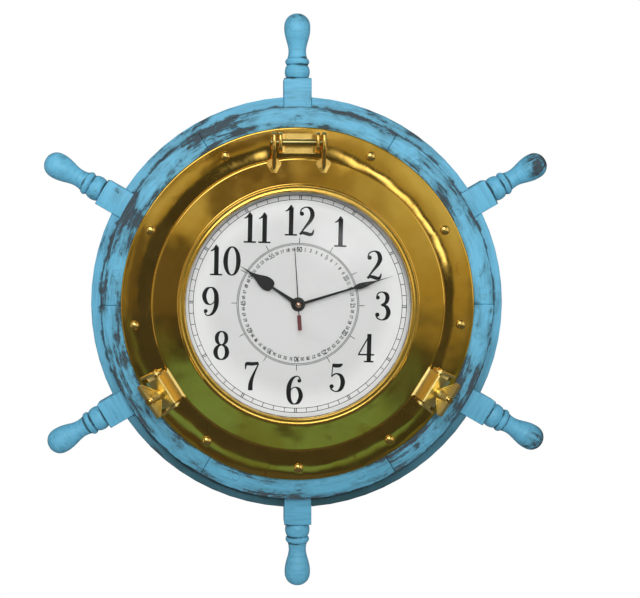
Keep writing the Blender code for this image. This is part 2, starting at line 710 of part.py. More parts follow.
def make_hinge_arms(window, brass):
    """Two arms on the window frame, with flared feet on its band and eyes round the hinge pin."""
    middle = arm_inner_half_width() + ARM_THICKNESS / 2
    foot_y = math.sqrt(ARM_FOOT_RADIUS**2 - middle**2)
    heel_y = math.sqrt(ARM_HEEL_RADIUS**2 - middle**2)
    rim_y = math.sqrt((WINDOW_RADIUS + SEAT_GAP) ** 2 - arm_inner_half_width() ** 2)
    toe = band_height(ARM_FOOT_RADIUS) + SEAT_GAP
    pin = (HINGE_RADIUS, hinge_pin_height())
    outline = [
        (foot_y, toe),
        (foot_y, toe + ARM_TOE_HEIGHT),
        (heel_y, toe + ARM_HEEL_HEIGHT),
        *arc(pin, ARM_EYE_RADIUS, -20, 200, 8),
        (rim_y, hinge_pin_height() - ARM_THROAT_HEIGHT),
        (rim_y, toe),
    ]
    drop = window.location
    bore = across(round_hole(HINGE_PIN_RADIUS + RUNNING_GAP, -ARM_THICKNESS, ARM_THICKNESS))
    bore_mesh = to_mesh("arm_bore", bore)
    for side, sign in (("left", -1), ("right", 1)):
        bm = side_profile(outline, ARM_THICKNESS / 2)
        for vert in bm.verts:
            if vert.co.y < foot_y + WELD_DISTANCE and vert.co.x * sign > 0:
                vert.co.x += sign * ARM_FOOT_FLARE
        place = Vector((sign * middle, 0, 0)) - drop
        mesh = to_mesh("hinge_arm", bm, smooth=True)
        arm = add_object(f"hinge_arm_{side}", mesh, brass, window, location=place)
        eye_centre = Vector((sign * middle, HINGE_RADIUS, hinge_pin_height())) - drop
        shape(arm, add_object(f"arm_bore_{side}", bore_mesh, None, window, location=eye_centre))


def make_hinge_pin(wheel, brass):
    half = arm_inner_half_width() + ARM_THICKNESS + PIN_END_OVERHANG
    bm = across(turned(pin_profile(HINGE_PIN_RADIUS, half), SMALL_STEPS))
    mesh = to_mesh("hinge_pin", bm, smooth=True)
    add_object("hinge_pin", mesh, brass, wheel, location=(0, HINGE_RADIUS, hinge_pin_height()))


def dog_pivot_height():
    """The eye of the swing bolt just clears the base of its yoke."""
    return FLANGE_FRONT + SEAT_GAP + YOKE_BASE_THICKNESS + SEAT_GAP + BOLT_EYE_RADIUS


def yoke_inner_half_width():
    return LUG_HALF_WIDTH + YOKE_SIDE_CLEARANCE


def make_dog_yoke(side, dog, brass):
    """A channel on the flange, whose two splayed walls carry the pin of the swing bolt."""
    inside = yoke_inner_half_width()
    splay = math.tan(math.radians(YOKE_SPLAY))
    wall_width = YOKE_WALL / math.cos(math.radians(YOKE_SPLAY))
    near = inside + wall_width
    far = near + YOKE_LENGTH * splay
    middle = near - wall_width / 2
    outer_radius = YOKE_INNER_RADIUS + YOKE_LENGTH
    base_far = middle + YOKE_BASE_LENGTH * splay
    base_end = YOKE_INNER_RADIUS + YOKE_BASE_LENGTH
    foot = FLANGE_FRONT + SEAT_GAP
    corners = [(middle, YOKE_INNER_RADIUS), (base_far, base_end)]
    plate = extruded(mirrored(corners), foot, foot + YOKE_BASE_THICKNESS)
    yoke = add_object(f"dog_yoke_{side}", to_mesh("dog_yoke", plate, smooth=True), brass, dog)
    pin = (DOG_PIVOT_RADIUS, dog_pivot_height())
    outline = (
        (YOKE_INNER_RADIUS, foot),
        (YOKE_INNER_RADIUS, foot + YOKE_INNER_HEIGHT),
        *arc(pin, YOKE_EAR_RADIUS, -70, 60, 5),
        (outer_radius, foot + YOKE_OUTER_HEIGHT),
        (outer_radius, foot),
    )
    for name, sign in (("a", -1), ("b", 1)):
        wall = side_profile(outline, wall_width / 2)
        # the wall leans out from its middle line as it runs outwards
        for vert in wall.verts:
            vert.co.x += sign * (middle + (vert.co.y - YOKE_INNER_RADIUS) * splay)
        shape(yoke, add_tool(f"yoke_wall_{side}_{name}", wall, dog), "UNION")
    bore = across(round_hole(DOG_PIN_RADIUS + RUNNING_GAP, -far - CUT_OVERRUN, far + CUT_OVERRUN))
    place = (0, DOG_PIVOT_RADIUS, dog_pivot_height())
    shape(yoke, add_tool(f"yoke_bore_{side}", bore, dog, location=place))

    half = near + (DOG_PIVOT_RADIUS - YOKE_INNER_RADIUS) * splay + PIN_END_OVERHANG
    pin = to_mesh("dog_pin", across(turned(pin_profile(DOG_PIN_RADIUS, half), SMALL_STEPS)), smooth=True)
    add_object(f"dog_pin_{side}", pin, brass, dog, location=place)


def lug_outline():
    """Side view of a lug: a foot hooked over the edge of the window frame, a riser, a sloping flat, and a
    nose rolled round the pivot of the dog."""
    pivot = Vector((DOG_PIVOT_RADIUS, dog_pivot_height()))
    lean = math.radians(DOG_LEAN)
    outwards = Vector((math.sin(lean), math.cos(lean)))
    along = Vector((math.cos(lean), -math.sin(lean)))
    inside_radius = LUG_SADDLE_RADIUS - LUG_THICKNESS
    crest = pivot + outwards * LUG_SADDLE_RADIUS - along * LUG_CREST_RUN
    crest_inside = pivot + outwards * inside_radius - along * LUG_CREST_INSIDE_RUN
    seat = band_height(LUG_FOOT_RADIUS) + SEAT_GAP
    toe = Vector((LUG_FOOT_RADIUS, seat + LUG_TOE_HEIGHT))
    rise = crest - toe
    nose_end = DOG_LEAN + LUG_NOSE_TURN
    corner = SKIRT_ROUND * SKIRT_ROUND_SHARE
    edge = WINDOW_RADIUS + SEAT_GAP
    shoulder = BAND_EDGE_HEIGHT + SEAT_GAP
    hook_end = shoulder - LUG_HOOK_DROP
    return [
        (LUG_FOOT_RADIUS, seat),
        *[(toe.x + rise.x * out, toe.y + rise.y * up) for out, up in LUG_RISER_SHARES],
        tuple(crest),
        *arc(pivot, LUG_SADDLE_RADIUS, DOG_LEAN, nose_end, LUG_NOSE_STEPS),
        *arc(pivot, inside_radius, nose_end, DOG_LEAN, LUG_NOSE_STEPS),
        tuple(crest_inside),
        *[(toe.x + rise.x * out, toe.y + rise.y * up) for out, up in LUG_UNDERSIDE_SHARES],
        (edge + LUG_HOOK_THICKNESS, hook_end),
        (edge, hook_end),
        (edge, shoulder - SKIRT_ROUND),
        (edge - corner, shoulder - corner),
        (edge - SKIRT_ROUND, shoulder),
    ]


def make_dog_lug(side, window, angle, brass):
    """A bent lug on the edge of the window, slotted to let the swing bolt in from outside."""
    frame = empty(f"lug_frame_{side}", window, location=-window.location, rotation=(0, 0, -angle))
    bm = side_profile(lug_outline(), LUG_HALF_WIDTH)
    for vert in bm.verts:
        if vert.co.y < LUG_FOOT_RADIUS + WELD_DISTANCE:
            vert.co.x += math.copysign(LUG_FOOT_FLARE, vert.co.x)
    lug = add_object(f"dog_lug_{side}", to_mesh("dog_lug", bm, smooth=True), brass, frame)
    half = LUG_SLOT_WIDTH / 2
    reach = 2 * LUG_SADDLE_RADIUS
    # the slot is round where the bolt stands, and open outwards
    outline = [*arc((0, 0), half, 90, 270, SMALL_STEPS // 2), (-half, reach), (half, reach)]
    slot = extruded(outline, BOLT_EYE_RADIUS, reach)
    place = (0, DOG_PIVOT_RADIUS, dog_pivot_height())
    shape(lug, add_tool(f"lug_slot_{side}", slot, frame, location=place, rotation=(-DOG_LEAN, 0, 0)))


def make_swing_bolt(side, bolt, brass):
    """A round bolt with an eye at the pivot, drawn along Z."""
    nut_top = LUG_SADDLE_RADIUS + SEAT_GAP + NUT_HEIGHT
    tip = BOLT_RADIUS - PIN_END_ROUND
    end = nut_top + BOLT_END_OVERHANG
    profile = [(0, 0), (BOLT_RADIUS, 0), (BOLT_RADIUS, end - PIN_END_ROUND), (tip, end), (0, end)]
    shank = to_mesh("swing_bolt", turned(profile, SMALL_STEPS), smooth=True)
    made = add_object(f"swing_bolt_{side}", shank, brass, bolt)
    half = BOLT_EYE_WIDTH / 2
    eye = across(round_hole(BOLT_EYE_RADIUS, -half, half))
    shape(made, add_tool(f"bolt_eye_{side}", eye, bolt), "UNION")
    bore = across(round_hole(DOG_PIN_RADIUS + RUNNING_GAP, -BOLT_EYE_WIDTH, BOLT_EYE_WIDTH))
    shape(made, add_tool(f"bolt_bore_{side}", bore, bolt))


def make_wing_nut(side, bolt, brass):
    """A wing nut whose two wings spread into a triangle, with a round hub and a rib round the bolt."""
    foot = LUG_SADDLE_RADIUS + SEAT_GAP
    top = foot + NUT_HEIGHT
    profile = [
        (0, foot),
        (NUT_HUB_RADIUS, foot),
        (NUT_HUB_RADIUS, foot + NUT_HUB_HEIGHT * NUT_HUB_SHOULDER_SHARE),
        (NUT_RIB_RADIUS, foot + NUT_HUB_HEIGHT),
        (NUT_RIB_RADIUS, foot + NUT_RIB_HEIGHT),
        (0, foot + NUT_RIB_HEIGHT),
    ]
    hub = to_mesh("wing_nut", turned(profile, SMALL_STEPS), smooth=True)
    nut = add_object(f"wing_nut_{side}", hub, brass, bolt)
    low = foot + NUT_WING_FOOT_HEIGHT
    inner = NUT_WING_FOOT_HALF_WIDTH
    shoulder = top - NUT_WING_TIP_HEIGHT
    outline = (
        (-inner, low),
        (-NUT_HALF_SPAN, shoulder),
        (-NUT_HALF_SPAN, top),
        (NUT_HALF_SPAN, top),
        (NUT_HALF_SPAN, shoulder),
        (inner, low),
    )
    wings = extruded(outline, -NUT_WING_THICKNESS / 2, NUT_WING_THICKNESS / 2)
    bmesh.ops.transform(wings, matrix=Matrix.Rotation(math.radians(90), 4, "X"), verts=wings.verts)
    shape(nut, add_tool(f"nut_wings_{side}", wings, bolt), "UNION")
    bore = round_hole(BOLT_RADIUS + RUNNING_GAP, foot - CUT_OVERRUN, top + CUT_OVERRUN)
    shape(nut, add_tool(f"nut_bore_{side}", bore, bolt))


def make_dogs(wheel, window, brass):
    for side, angle in DOG_ANGLES.items():
        dog = empty(f"dog_frame_{side}", wheel, rotation=(0, 0, -angle))
        make_dog_yoke(side, dog, brass)
        make_dog_lug(side, window, angle, brass)
        bolt = empty(
            f"dog_pivot_{side}",
            dog,
            location=(0, DOG_PIVOT_RADIUS, dog_pivot_height()),
            rotation=(-DOG_LEAN, 0, 0),
        )
        make_swing_bolt(side, bolt, brass)
        make_wing_nut(side, bolt, brass)


def disc(outer, inner, bottom, top, outer_steps=RING_STEPS, inner_steps=SMALL_STEPS):
    """A flat round plate with a round hole in its middle."""
    bm = bmesh.new()
    edges = []
    for radius, steps in ((outer, outer_steps), (inner, inner_steps)):
        points = [bm.verts.new((x, y, bottom)) for x, y in arc((0, 0), radius, 0, 360, steps)[:-1]]
        edges += [bm.edges.new((a, b)) for a, b in zip(points, points[1:] + points[:1])]
    filled = bmesh.ops.triangle_fill(bm, edges=edges, use_beauty=True)["geom"]
    faces = [item for item in filled if isinstance(item, bmesh.types.BMFace)]
    made = bmesh.ops.extrude_face_region(bm, geom=faces)["geom"]
    raised = [item for item in made if isinstance(item, bmesh.types.BMVert)]
    bmesh.ops.translate(bm, verts=raised, vec=(0, 0, top - bottom))
    return bm


def make_dial(wheel, fibreboard, card):
    """A board on the ledge of the core, and the printed card on its front, both pierced for the bush."""
    hole = BUSH_RADIUS + HOLE_CLEARANCE
    board = disc(RING_BORE_RADIUS - SEAT_GAP, hole, BOARD_BACK, BOARD_FRONT)
    add_object("dial_board", to_mesh("dial_board", board), fibreboard, wheel)
    face = disc(FLANGE_BORE_RADIUS - SEAT_GAP, hole, CARD_BACK, CARD_FRONT)
    add_object("dial_card", to_mesh("dial_card", face), card, wheel)


def bay_centre():
    """The battery lies along X in the lower part of the case."""
    return -CASE_WIDTH / 2 + BAY_EDGE_MARGIN + BATTERY_RADIUS + SEAT_GAP


def make_movement(wheel, plastic, brass, rubber, wrap):
    """The case with its open battery bay, the bush through the dial, and the washer and nut on the bush."""
    half = CASE_WIDTH / 2
    bm = block((-half, half), (-half, half), (CASE_BACK, CASE_FRONT))
    ease(
        bm,
        CASE_CORNER_ROUND,
        lambda edge: abs(edge.verts[0].co.z - edge.verts[1].co.z) > CASE_THICKNESS / 2,
        segments=3,
    )
    ease(bm, CASE_BACK_ROUND, lambda edge: at_height(edge, CASE_BACK))
    case = add_object("movement_case", to_mesh("movement_case", bm, smooth=True), plastic, wheel)
    bay_half_length = (BATTERY_LENGTH + BATTERY_NUB_LENGTH) / 2 + SEAT_GAP
    bay_half_width = BATTERY_RADIUS + SEAT_GAP
    bay = block(
        (-bay_half_length, bay_half_length),
        (bay_centre() - bay_half_width, bay_centre() + bay_half_width),
        (CASE_BACK - CUT_OVERRUN, CASE_FRONT - BAY_WALL),
    )
    shape(case, add_tool("battery_bay", bay, wheel))
    stem_hole = round_hole(
        KNOB_STEM_RADIUS + RUNNING_GAP, CASE_BACK - CUT_OVERRUN, CASE_BACK + KNOB_STEM_LENGTH + RUNNING_GAP
    )
    shape(case, add_tool("stem_hole", stem_hole, wheel, location=(0, KNOB_OFFSET, 0)))

    bush_bore = HOUR_PIPE_RADIUS + RUNNING_GAP
    foot = CASE_FRONT + SEAT_GAP
    tube = ((BUSH_RADIUS, foot), (bush_bore, foot), (bush_bore, BUSH_FRONT), (BUSH_RADIUS, BUSH_FRONT))
    mesh = to_mesh("shaft_bush", turned(tube, SMALL_STEPS, closed=True), smooth=True)
    add_object("shaft_bush", mesh, brass, wheel)

    hole = BUSH_RADIUS + RUNNING_GAP
    washer_back = CARD_FRONT + SEAT_GAP
    washer_front = washer_back + WASHER_THICKNESS
    washer = disc(WASHER_RADIUS, hole, washer_back, washer_front, 2 * SMALL_STEPS)
    add_object("shaft_washer", to_mesh("shaft_washer", washer), rubber, wheel)
    nut_back = washer_front + SEAT_GAP
    corner = SHAFT_NUT_WIDTH / math.sqrt(3)
    nut = disc(corner, hole, nut_back, nut_back + SHAFT_NUT_THICKNESS, 6)
    add_object("shaft_nut", to_mesh("shaft_nut", nut), brass, wheel)

    half_length = BATTERY_LENGTH / 2
    cell = [
        (0, -half_length),
        (BATTERY_RADIUS, -half_length),
        (BATTERY_RADIUS, half_length),
        (BATTERY_NUB_RADIUS, half_length),
        (BATTERY_NUB_RADIUS, half_length + BATTERY_NUB_LENGTH),
        (0, half_length + BATTERY_NUB_LENGTH),
    ]
    mesh = to_mesh("battery", across(turned(cell, 2 * SMALL_STEPS)), smooth=True)
    height = CASE_FRONT - BAY_WALL - SEAT_GAP - BATTERY_RADIUS
    place = (-BATTERY_NUB_LENGTH / 2, bay_centre(), height)
    add_object("battery", mesh, wrap, wheel, location=place)


def make_set_knob(wheel, plastic):
    """The fluted knob on the back of the case that sets the hands."""
    outline = []
    for i in range(2 * KNOB_FLUTES):
        radius = KNOB_RADIUS - (i % 2) * KNOB_FLUTE_DEPTH
        turn = math.radians(180 * i / KNOB_FLUTES)
        outline.append((radius * math.sin(turn), radius * math.cos(turn)))
    knob_top = -SEAT_GAP
    bm = extruded(outline, knob_top - KNOB_THICKNESS, knob_top)
    place = (0, KNOB_OFFSET, CASE_BACK)
    knob = add_object("set_knob", to_mesh("set_knob", bm, smooth=True), plastic, wheel, location=place)
    stem = round_hole(KNOB_STEM_RADIUS, knob_top - KNOB_THICKNESS / 2, KNOB_STEM_LENGTH)
    shape(knob, add_tool("knob_stem", stem, wheel, location=place), "UNION")


def mirrored(side):
    """A hand's outline from its right side, as (half width, distance) points."""
    return list(side) + [(-x, y) for x, y in reversed(side) if x]


def hand_outline(shares, width, length):
    """A hand's outline from a table of shares of its greatest half width and of its length."""
    return mirrored([(width / 2 * wide, length * along) for wide, along in shares])


def make_hand(name, outline, hub_profile, bore_radius, pivot, height, metal):
    """A flat hand joined to its turned hub, and bored for the arbor inside it."""
    blade = extruded(outline, height, height + HAND_THICKNESS)
    hand = add_object(name, to_mesh(name, blade, smooth=True), metal, pivot)
    shape(hand, add_tool(f"{name}_hub", turned(hub_profile, SMALL_STEPS), pivot), "UNION")
    if bore_radius:
        bottom = min(along for radius, along in hub_profile) - CUT_OVERRUN
        bore = round_hole(bore_radius, bottom, height + BOSS_THICKNESS + CUT_OVERRUN)
        shape(hand, add_tool(f"{name}_bore", bore, pivot))
    return hand


def hub_of(boss_radius, pipe_radius, height, pipe_end):
    """Profile of a hand's boss and of the pipe below it."""
    top = height + BOSS_THICKNESS
    shoulder = height - SEAT_GAP / 2
    return [
        (0, top),
        (boss_radius, top),
        (boss_radius, shoulder),
        (pipe_radius, shoulder),
        (pipe_radius, pipe_end),
        (0, pipe_end),
    ]


def make_hands(wheel, black):
    """Three hands in a stack: the pipe of each turns inside the one below it."""
    hour_height = BUSH_FRONT + 2 * SEAT_GAP
    minute_height = hour_height + BOSS_THICKNESS + HAND_SPACING - HAND_THICKNESS
    second_height = minute_height + BOSS_THICKNESS + HAND_SPACING - HAND_THICKNESS
    pipe_end = CASE_FRONT + 2 * SEAT_GAP
    pivots = {
        name: empty(f"{name}_pivot", wheel, rotation=(0, 0, -angle)) for name, angle in HAND_ANGLES.items()
    }
    make_hand(
        "hour_hand",
        hand_outline(HOUR_SHARES, HOUR_WIDTH, HOUR_LENGTH),
        hub_of(HOUR_BOSS_RADIUS, HOUR_PIPE_RADIUS, hour_height, pipe_end),
        MINUTE_PIPE_RADIUS + RUNNING_GAP,
        pivots["hour_hand"],
        hour_height,
        black,
    )
    make_hand(
        "minute_hand",
        hand_outline(MINUTE_SHARES, MINUTE_WIDTH, MINUTE_LENGTH),
        hub_of(MINUTE_BOSS_RADIUS, MINUTE_PIPE_RADIUS, minute_height, pipe_end),
        SECOND_ARBOR_RADIUS + RUNNING_GAP,
        pivots["minute_hand"],
        minute_height,
        black,
    )
    top = second_height + HAND_THICKNESS
    cap = [(CAP_RADIUS * x, top + CAP_HEIGHT * y) for x, y in arc((0, 0), 1, 0, 75, 3)]
    cap[0] = (0, top + CAP_HEIGHT)
    hub = [
        *cap,
        (CAP_RADIUS, second_height - SEAT_GAP / 2),
        (SECOND_ARBOR_RADIUS, second_height - SEAT_GAP / 2),
        (SECOND_ARBOR_RADIUS, pipe_end),
        (0, pipe_end),
    ]
    outline = hand_outline(SECOND_SHARES, SECOND_WIDTH, SECOND_LENGTH)
    make_hand("second_hand", outline, hub, 0, pivots["second_hand"], second_height, black)


def build():
    clear_scene()
    paint = finish("painted_wood", (0.16, 0.44, 0.66), 0.6)
    brass = finish("polished_brass", (0.78, 0.53, 0.16), 0.18, metallic=1.0)
    glass = finish("window_pane", (0.92, 0.96, 0.96), 0.02, alpha=0.15)
    rubber = finish("black_rubber", (0.02, 0.02, 0.02), 0.8)
    fibreboard = finish("fibreboard", (0.30, 0.20, 0.12), 0.9)
    card = finish("dial_card", (0.80, 0.80, 0.80), 0.6)
    plastic = finish("black_plastic", (0.03, 0.03, 0.03), 0.45)
    steel = finish("zinc_steel", (0.60, 0.60, 0.62), 0.4, metallic=1.0)
    black = finish("black_metal", (0.01, 0.01, 0.01), 0.35)
    wrap = finish("battery_wrap", (0.10, 0.10, 0.12), 0.35)

    wheel = empty("wheel_frame", location=(0, 0, -NAIL_SEAT_RADIUS), rotation=(90, 0, 0))
    window = empty("window_hinge", wheel, location=(0, HINGE_RADIUS, hinge_pin_height()))
    screw_holes = screw_hole_cutter(wheel)

    make_rear_ring(wheel, paint)
    make_hanger(wheel, steel)
    make_spokes(wheel, paint)
    make_core_felloes(wheel, paint)
    make_face_felloes(wheel, paint, screw_holes)
    make_dial(wheel, fibreboard, card)
    make_movement(wheel, plastic, brass, rubber, wrap)
    make_set_knob(wheel, plastic)
    make_hands(wheel, black)
    make_flange(wheel, brass, screw_holes)
    make_flange_screws(wheel, brass)
    make_hinge_base(wheel, brass)
    make_hinge_pin(wheel, brass)
    make_window(window, brass, glass, rubber)
    make_hinge_arms(window, brass)
    make_dogs(wheel, window, brass)


build()
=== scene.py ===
import math

import bmesh
import bpy
from mathutils import Matrix, Vector


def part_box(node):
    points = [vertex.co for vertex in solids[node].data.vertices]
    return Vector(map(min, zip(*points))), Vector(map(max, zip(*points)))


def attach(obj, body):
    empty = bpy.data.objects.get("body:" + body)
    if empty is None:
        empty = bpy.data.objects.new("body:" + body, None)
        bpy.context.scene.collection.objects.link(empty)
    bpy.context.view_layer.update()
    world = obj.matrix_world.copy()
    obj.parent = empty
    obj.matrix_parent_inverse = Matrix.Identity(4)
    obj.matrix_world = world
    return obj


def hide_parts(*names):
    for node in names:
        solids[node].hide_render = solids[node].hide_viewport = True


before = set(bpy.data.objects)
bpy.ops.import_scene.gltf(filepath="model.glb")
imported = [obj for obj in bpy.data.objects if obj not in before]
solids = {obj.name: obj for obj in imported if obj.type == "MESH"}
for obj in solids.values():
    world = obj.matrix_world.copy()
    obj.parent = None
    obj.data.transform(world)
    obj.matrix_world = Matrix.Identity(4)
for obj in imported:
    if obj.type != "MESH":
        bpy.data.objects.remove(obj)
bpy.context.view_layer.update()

# Wooden rim.
# The rim is built up from three layers of mango wood: a thin ring against the wall, thick felloes
# between the spokes, and a front ring of six felloes that butt midway between them. Dowels pin the
# front ring down, and the whole is brushed with sky blue paint and rubbed back to the dark wood.
axle = sum(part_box("window_glass"), Vector()) / 2
axle.y = 0
scene = bpy.context.scene


def rim_place(clock_degrees=0.0, away=0.0, out=0.0):
    """From a drawing of a piece, x across, y away from the axle and z out from the wall, to its place on the
    wheel, turned clockwise."""
    turn = math.radians(clock_degrees)
    across, along = math.cos(turn), math.sin(turn)
    facing = Matrix(((across, along, 0, 0), (0, 0, -1, 0), (-along, across, 0, 0), (0, 0, 0, 1)))
    return Matrix.Translation(axle) @ facing @ Matrix.Translation((0, away, out))


def skinned(rings):
    """A solid under a skin laid over rings of points, one after another, with both ends closed."""
    solid = bmesh.new()
    rows = [[solid.verts.new(point) for point in ring] for ring in rings]
    for low, high in zip(rows, rows[1:]):
        for corner in range(len(low)):
            solid.faces.new((low[corner - 1], low[corner], high[corner], high[corner - 1]))
    solid.faces.new(rows[0])
    solid.faces.new(rows[-1])
    bmesh.ops.recalc_face_normals(solid, faces=solid.faces)
    return solid


def sawn(outline, low, high):
    """A board sawn to an outline of x and y, from one height to another."""
    return skinned([[(x, y, height) for x, y in outline] for height in (low, high)])


def turned(outline, steps=48, hollow=False):
    """Turned on a lathe from an outline of radius and height; a hollow one has its outline closed on itself."""
    blank = bmesh.new()
    rows = []
    for radius, height in outline:
        angles = [math.tau * step / steps for step in range(steps if radius else 1)]
        rows.append([blank.verts.new((radius * math.sin(a), radius * math.cos(a), height)) for a in angles])
    pairs = list(zip(rows, rows[1:]))
    if hollow:
        pairs.append((rows[-1], rows[0]))
    for low, high in pairs:
        for step in range(steps):
            after = (step + 1) % steps
            around = [low[step % len(low)], low[after % len(low)], high[after % len(high)], high[step % len(high)]]
            blank.faces.new(list(dict.fromkeys(around)))
    bmesh.ops.recalc_face_normals(blank, faces=blank.faces)
    return blank


def arc(centre, radius, start, end, steps):
    """Places along an arc, in degrees anticlockwise from the x direction."""
    angles = [math.radians(start + (end - start) * step / steps) for step in range(steps + 1)]
    return [(centre[0] + radius * math.cos(a), centre[1] + radius * math.sin(a)) for a in angles]


def worked(blank, tool, kind="DIFFERENCE"):
    """Cuts one solid with another, or joins the two."""
    bench = []
    for solid in (blank, tool):
        mesh = bpy.data.meshes.new("bench")
        solid.to_mesh(mesh)
        solid.free()
        bench.append(bpy.data.objects.new("bench", mesh))
        scene.collection.objects.link(bench[-1])
    work = bench[0].modifiers.new("work", "BOOLEAN")
    work.operation = kind
    work.solver = "EXACT"
    work.object = bench[1]
    result = bmesh.new()
    result.from_object(bench[0], bpy.context.evaluated_depsgraph_get())
    for used in bench:
        bpy.data.meshes.remove(used.data)
    return result


def finished(name, solid, finish):
    """Puts a solid into the scene with its finish."""
    mesh = bpy.data.meshes.new(name)
    solid.to_mesh(mesh)
    solid.free()
    mesh.materials.append(finish)
    piece = bpy.data.objects.new(name, mesh)
    scene.collection.objects.link(piece)
    return piece


def clock_piece(name, solid, place, finish, body, slot, stands_for=None, edge=0.0, crease=32):
    """Makes a piece of the clock that rides on a body; edge is how far its corners are rounded."""
    bmesh.ops.transform(solid, matrix=place, verts=solid.verts)
    bmesh.ops.recalc_face_normals(solid, faces=solid.faces)
    piece = finished(name, solid, finish)
    piece.data.shade_smooth()
    if edge:
        soften(piece, edge)
    else:
        piece.data.set_sharp_from_angle(angle=math.radians(crease))
    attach(piece, body)
    if stands_for:
        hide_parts(stands_for)


def soften(piece, edge):
    """Rounds the corners of a piece."""
    rounding = piece.modifiers.new("rounding", "BEVEL")
    rounding.width = edge
    rounding.segments = 3
    rounding.limit_method = "ANGLE"
    rounding.angle_limit = math.radians(38)
    rounding.harden_normals = True


def dressed(name, finish, edge=0.0):
    """Gives a solid its finish, and takes the sharpness off its corners."""
    solids[name].data.materials.clear()
    solids[name].data.materials.append(finish)
    if edge:
        soften(solids[name], edge)


def feed(node, inputs):
    """Gives inputs of a node a number, a colour or what comes out of another node."""
    for name, value in inputs.items():
        socket = node.inputs[name]
        if isinstance(value, bpy.types.NodeSocket):
            node.id_data.links.new(value, socket)
        else:
            socket.default_value = (*value, 1.0) if socket.type == "RGBA" else value


def fresh(kind, inputs, output=0, **settings):
    """What comes out of a new node, made in the finish that its first input belongs to."""
    node = next(iter(inputs.values())).id_data.nodes.new("ShaderNode" + kind)
    for name, value in settings.items():
        setattr(node, name, value)
    feed(node, inputs)
    return node.outputs[output]


def clock_finish(name):
    """A finish, its shader, and the spot on the surface as seen from the middle of the wheel."""
    made = bpy.data.materials.new(name)
    made.use_nodes = True
    spot = made.node_tree.nodes.new("ShaderNodeTexCoord").outputs["Object"]
    return made, made.node_tree.nodes["Principled BSDF"], fresh("VectorMath", {0: spot, 1: axle}, operation="SUBTRACT")


def stretched(spot, x, y, z):
    """The same spot, drawn out by a number along each direction."""
    return fresh("VectorMath", {0: spot, 1: (x, y, z)}, operation="MULTIPLY")


def cloud(spot, size, detail=3.0, roughness=0.55, distortion=0.0):
    """Uneven patches; size is how many fit in a metre."""
    given = {"Vector": spot, "Scale": size, "Detail": detail, "Roughness": roughness, "Distortion": distortion}
    return fresh("TexNoise", given, "Fac")


def grained(spot, fit, detail=3.0, roughness=0.55, distortion=0.0):
    """Uneven patches drawn out along a grain; fit is how many go in a metre along each direction."""
    return cloud(stretched(spot, *fit), 1, detail, roughness, distortion)


def reckoned(kind, first, second=0.0):
    """Two values joined, of which the second may be a plain number."""
    return fresh("Math", {0: first, 1: second}, operation=kind)


def plus(total, *more):
    for value in more:
        total = reckoned("ADD", total, value)
    return total


def times(total, *more):
    for value in more:
        total = reckoned("MULTIPLY", total, value)
    return total


def between(value, low, high, start=0.0, end=1.0):
    """Turns a value from low to high into one from start to end, softly."""
    given = {"Value": value, "From Min": low, "From Max": high, "To Min": start, "To Max": end}
    return fresh("MapRange", given, "Result", interpolation_type="SMOOTHSTEP")


def blended(share, first, second):
    """One colour laid over another by a share."""
    return fresh("Mix", {"Factor": share, "A": first, "B": second}, "Result", data_type="RGBA")


def relief(shader, height, depth):
    """Raises the surface by a height; depth is in metres."""
    feed(shader, {"Normal": fresh("Bump", {"Height": height, "Distance": depth}, "Normal")})


def distance_out(spot):
    """How far a spot is from the axis of the wheel."""
    return fresh("VectorMath", {0: stretched(spot, 1, 0, 1)}, "Value", operation="LENGTH")


def within(spot, x, z, inner, outer):
    """One inside a distance from a place in the drawing, fading to nothing at another."""
    away = fresh("VectorMath", {0: stretched(spot, 1, 0, 1), 1: (x, 0, z)}, "Value", operation="DISTANCE")
    return between(away, inner, outer, 1.0, 0.0)


def along_rim(spot, seam, rim_radius=0.2):
    """A spot given as metres along the rim, out from the axis and deep, starting at a clock angle where two pieces
    of wood meet."""
    swung = fresh("VectorRotate", {"Vector": spot, "Angle": math.radians(180 - seam)}, rotation_type="Y_AXIS")
    across, deep, up = fresh("SeparateXYZ", {0: swung}).node.outputs
    run = times(reckoned("ARCTAN2", across, up), rim_radius)
    return fresh("CombineXYZ", {"X": run, "Y": distance_out(spot), "Z": deep})


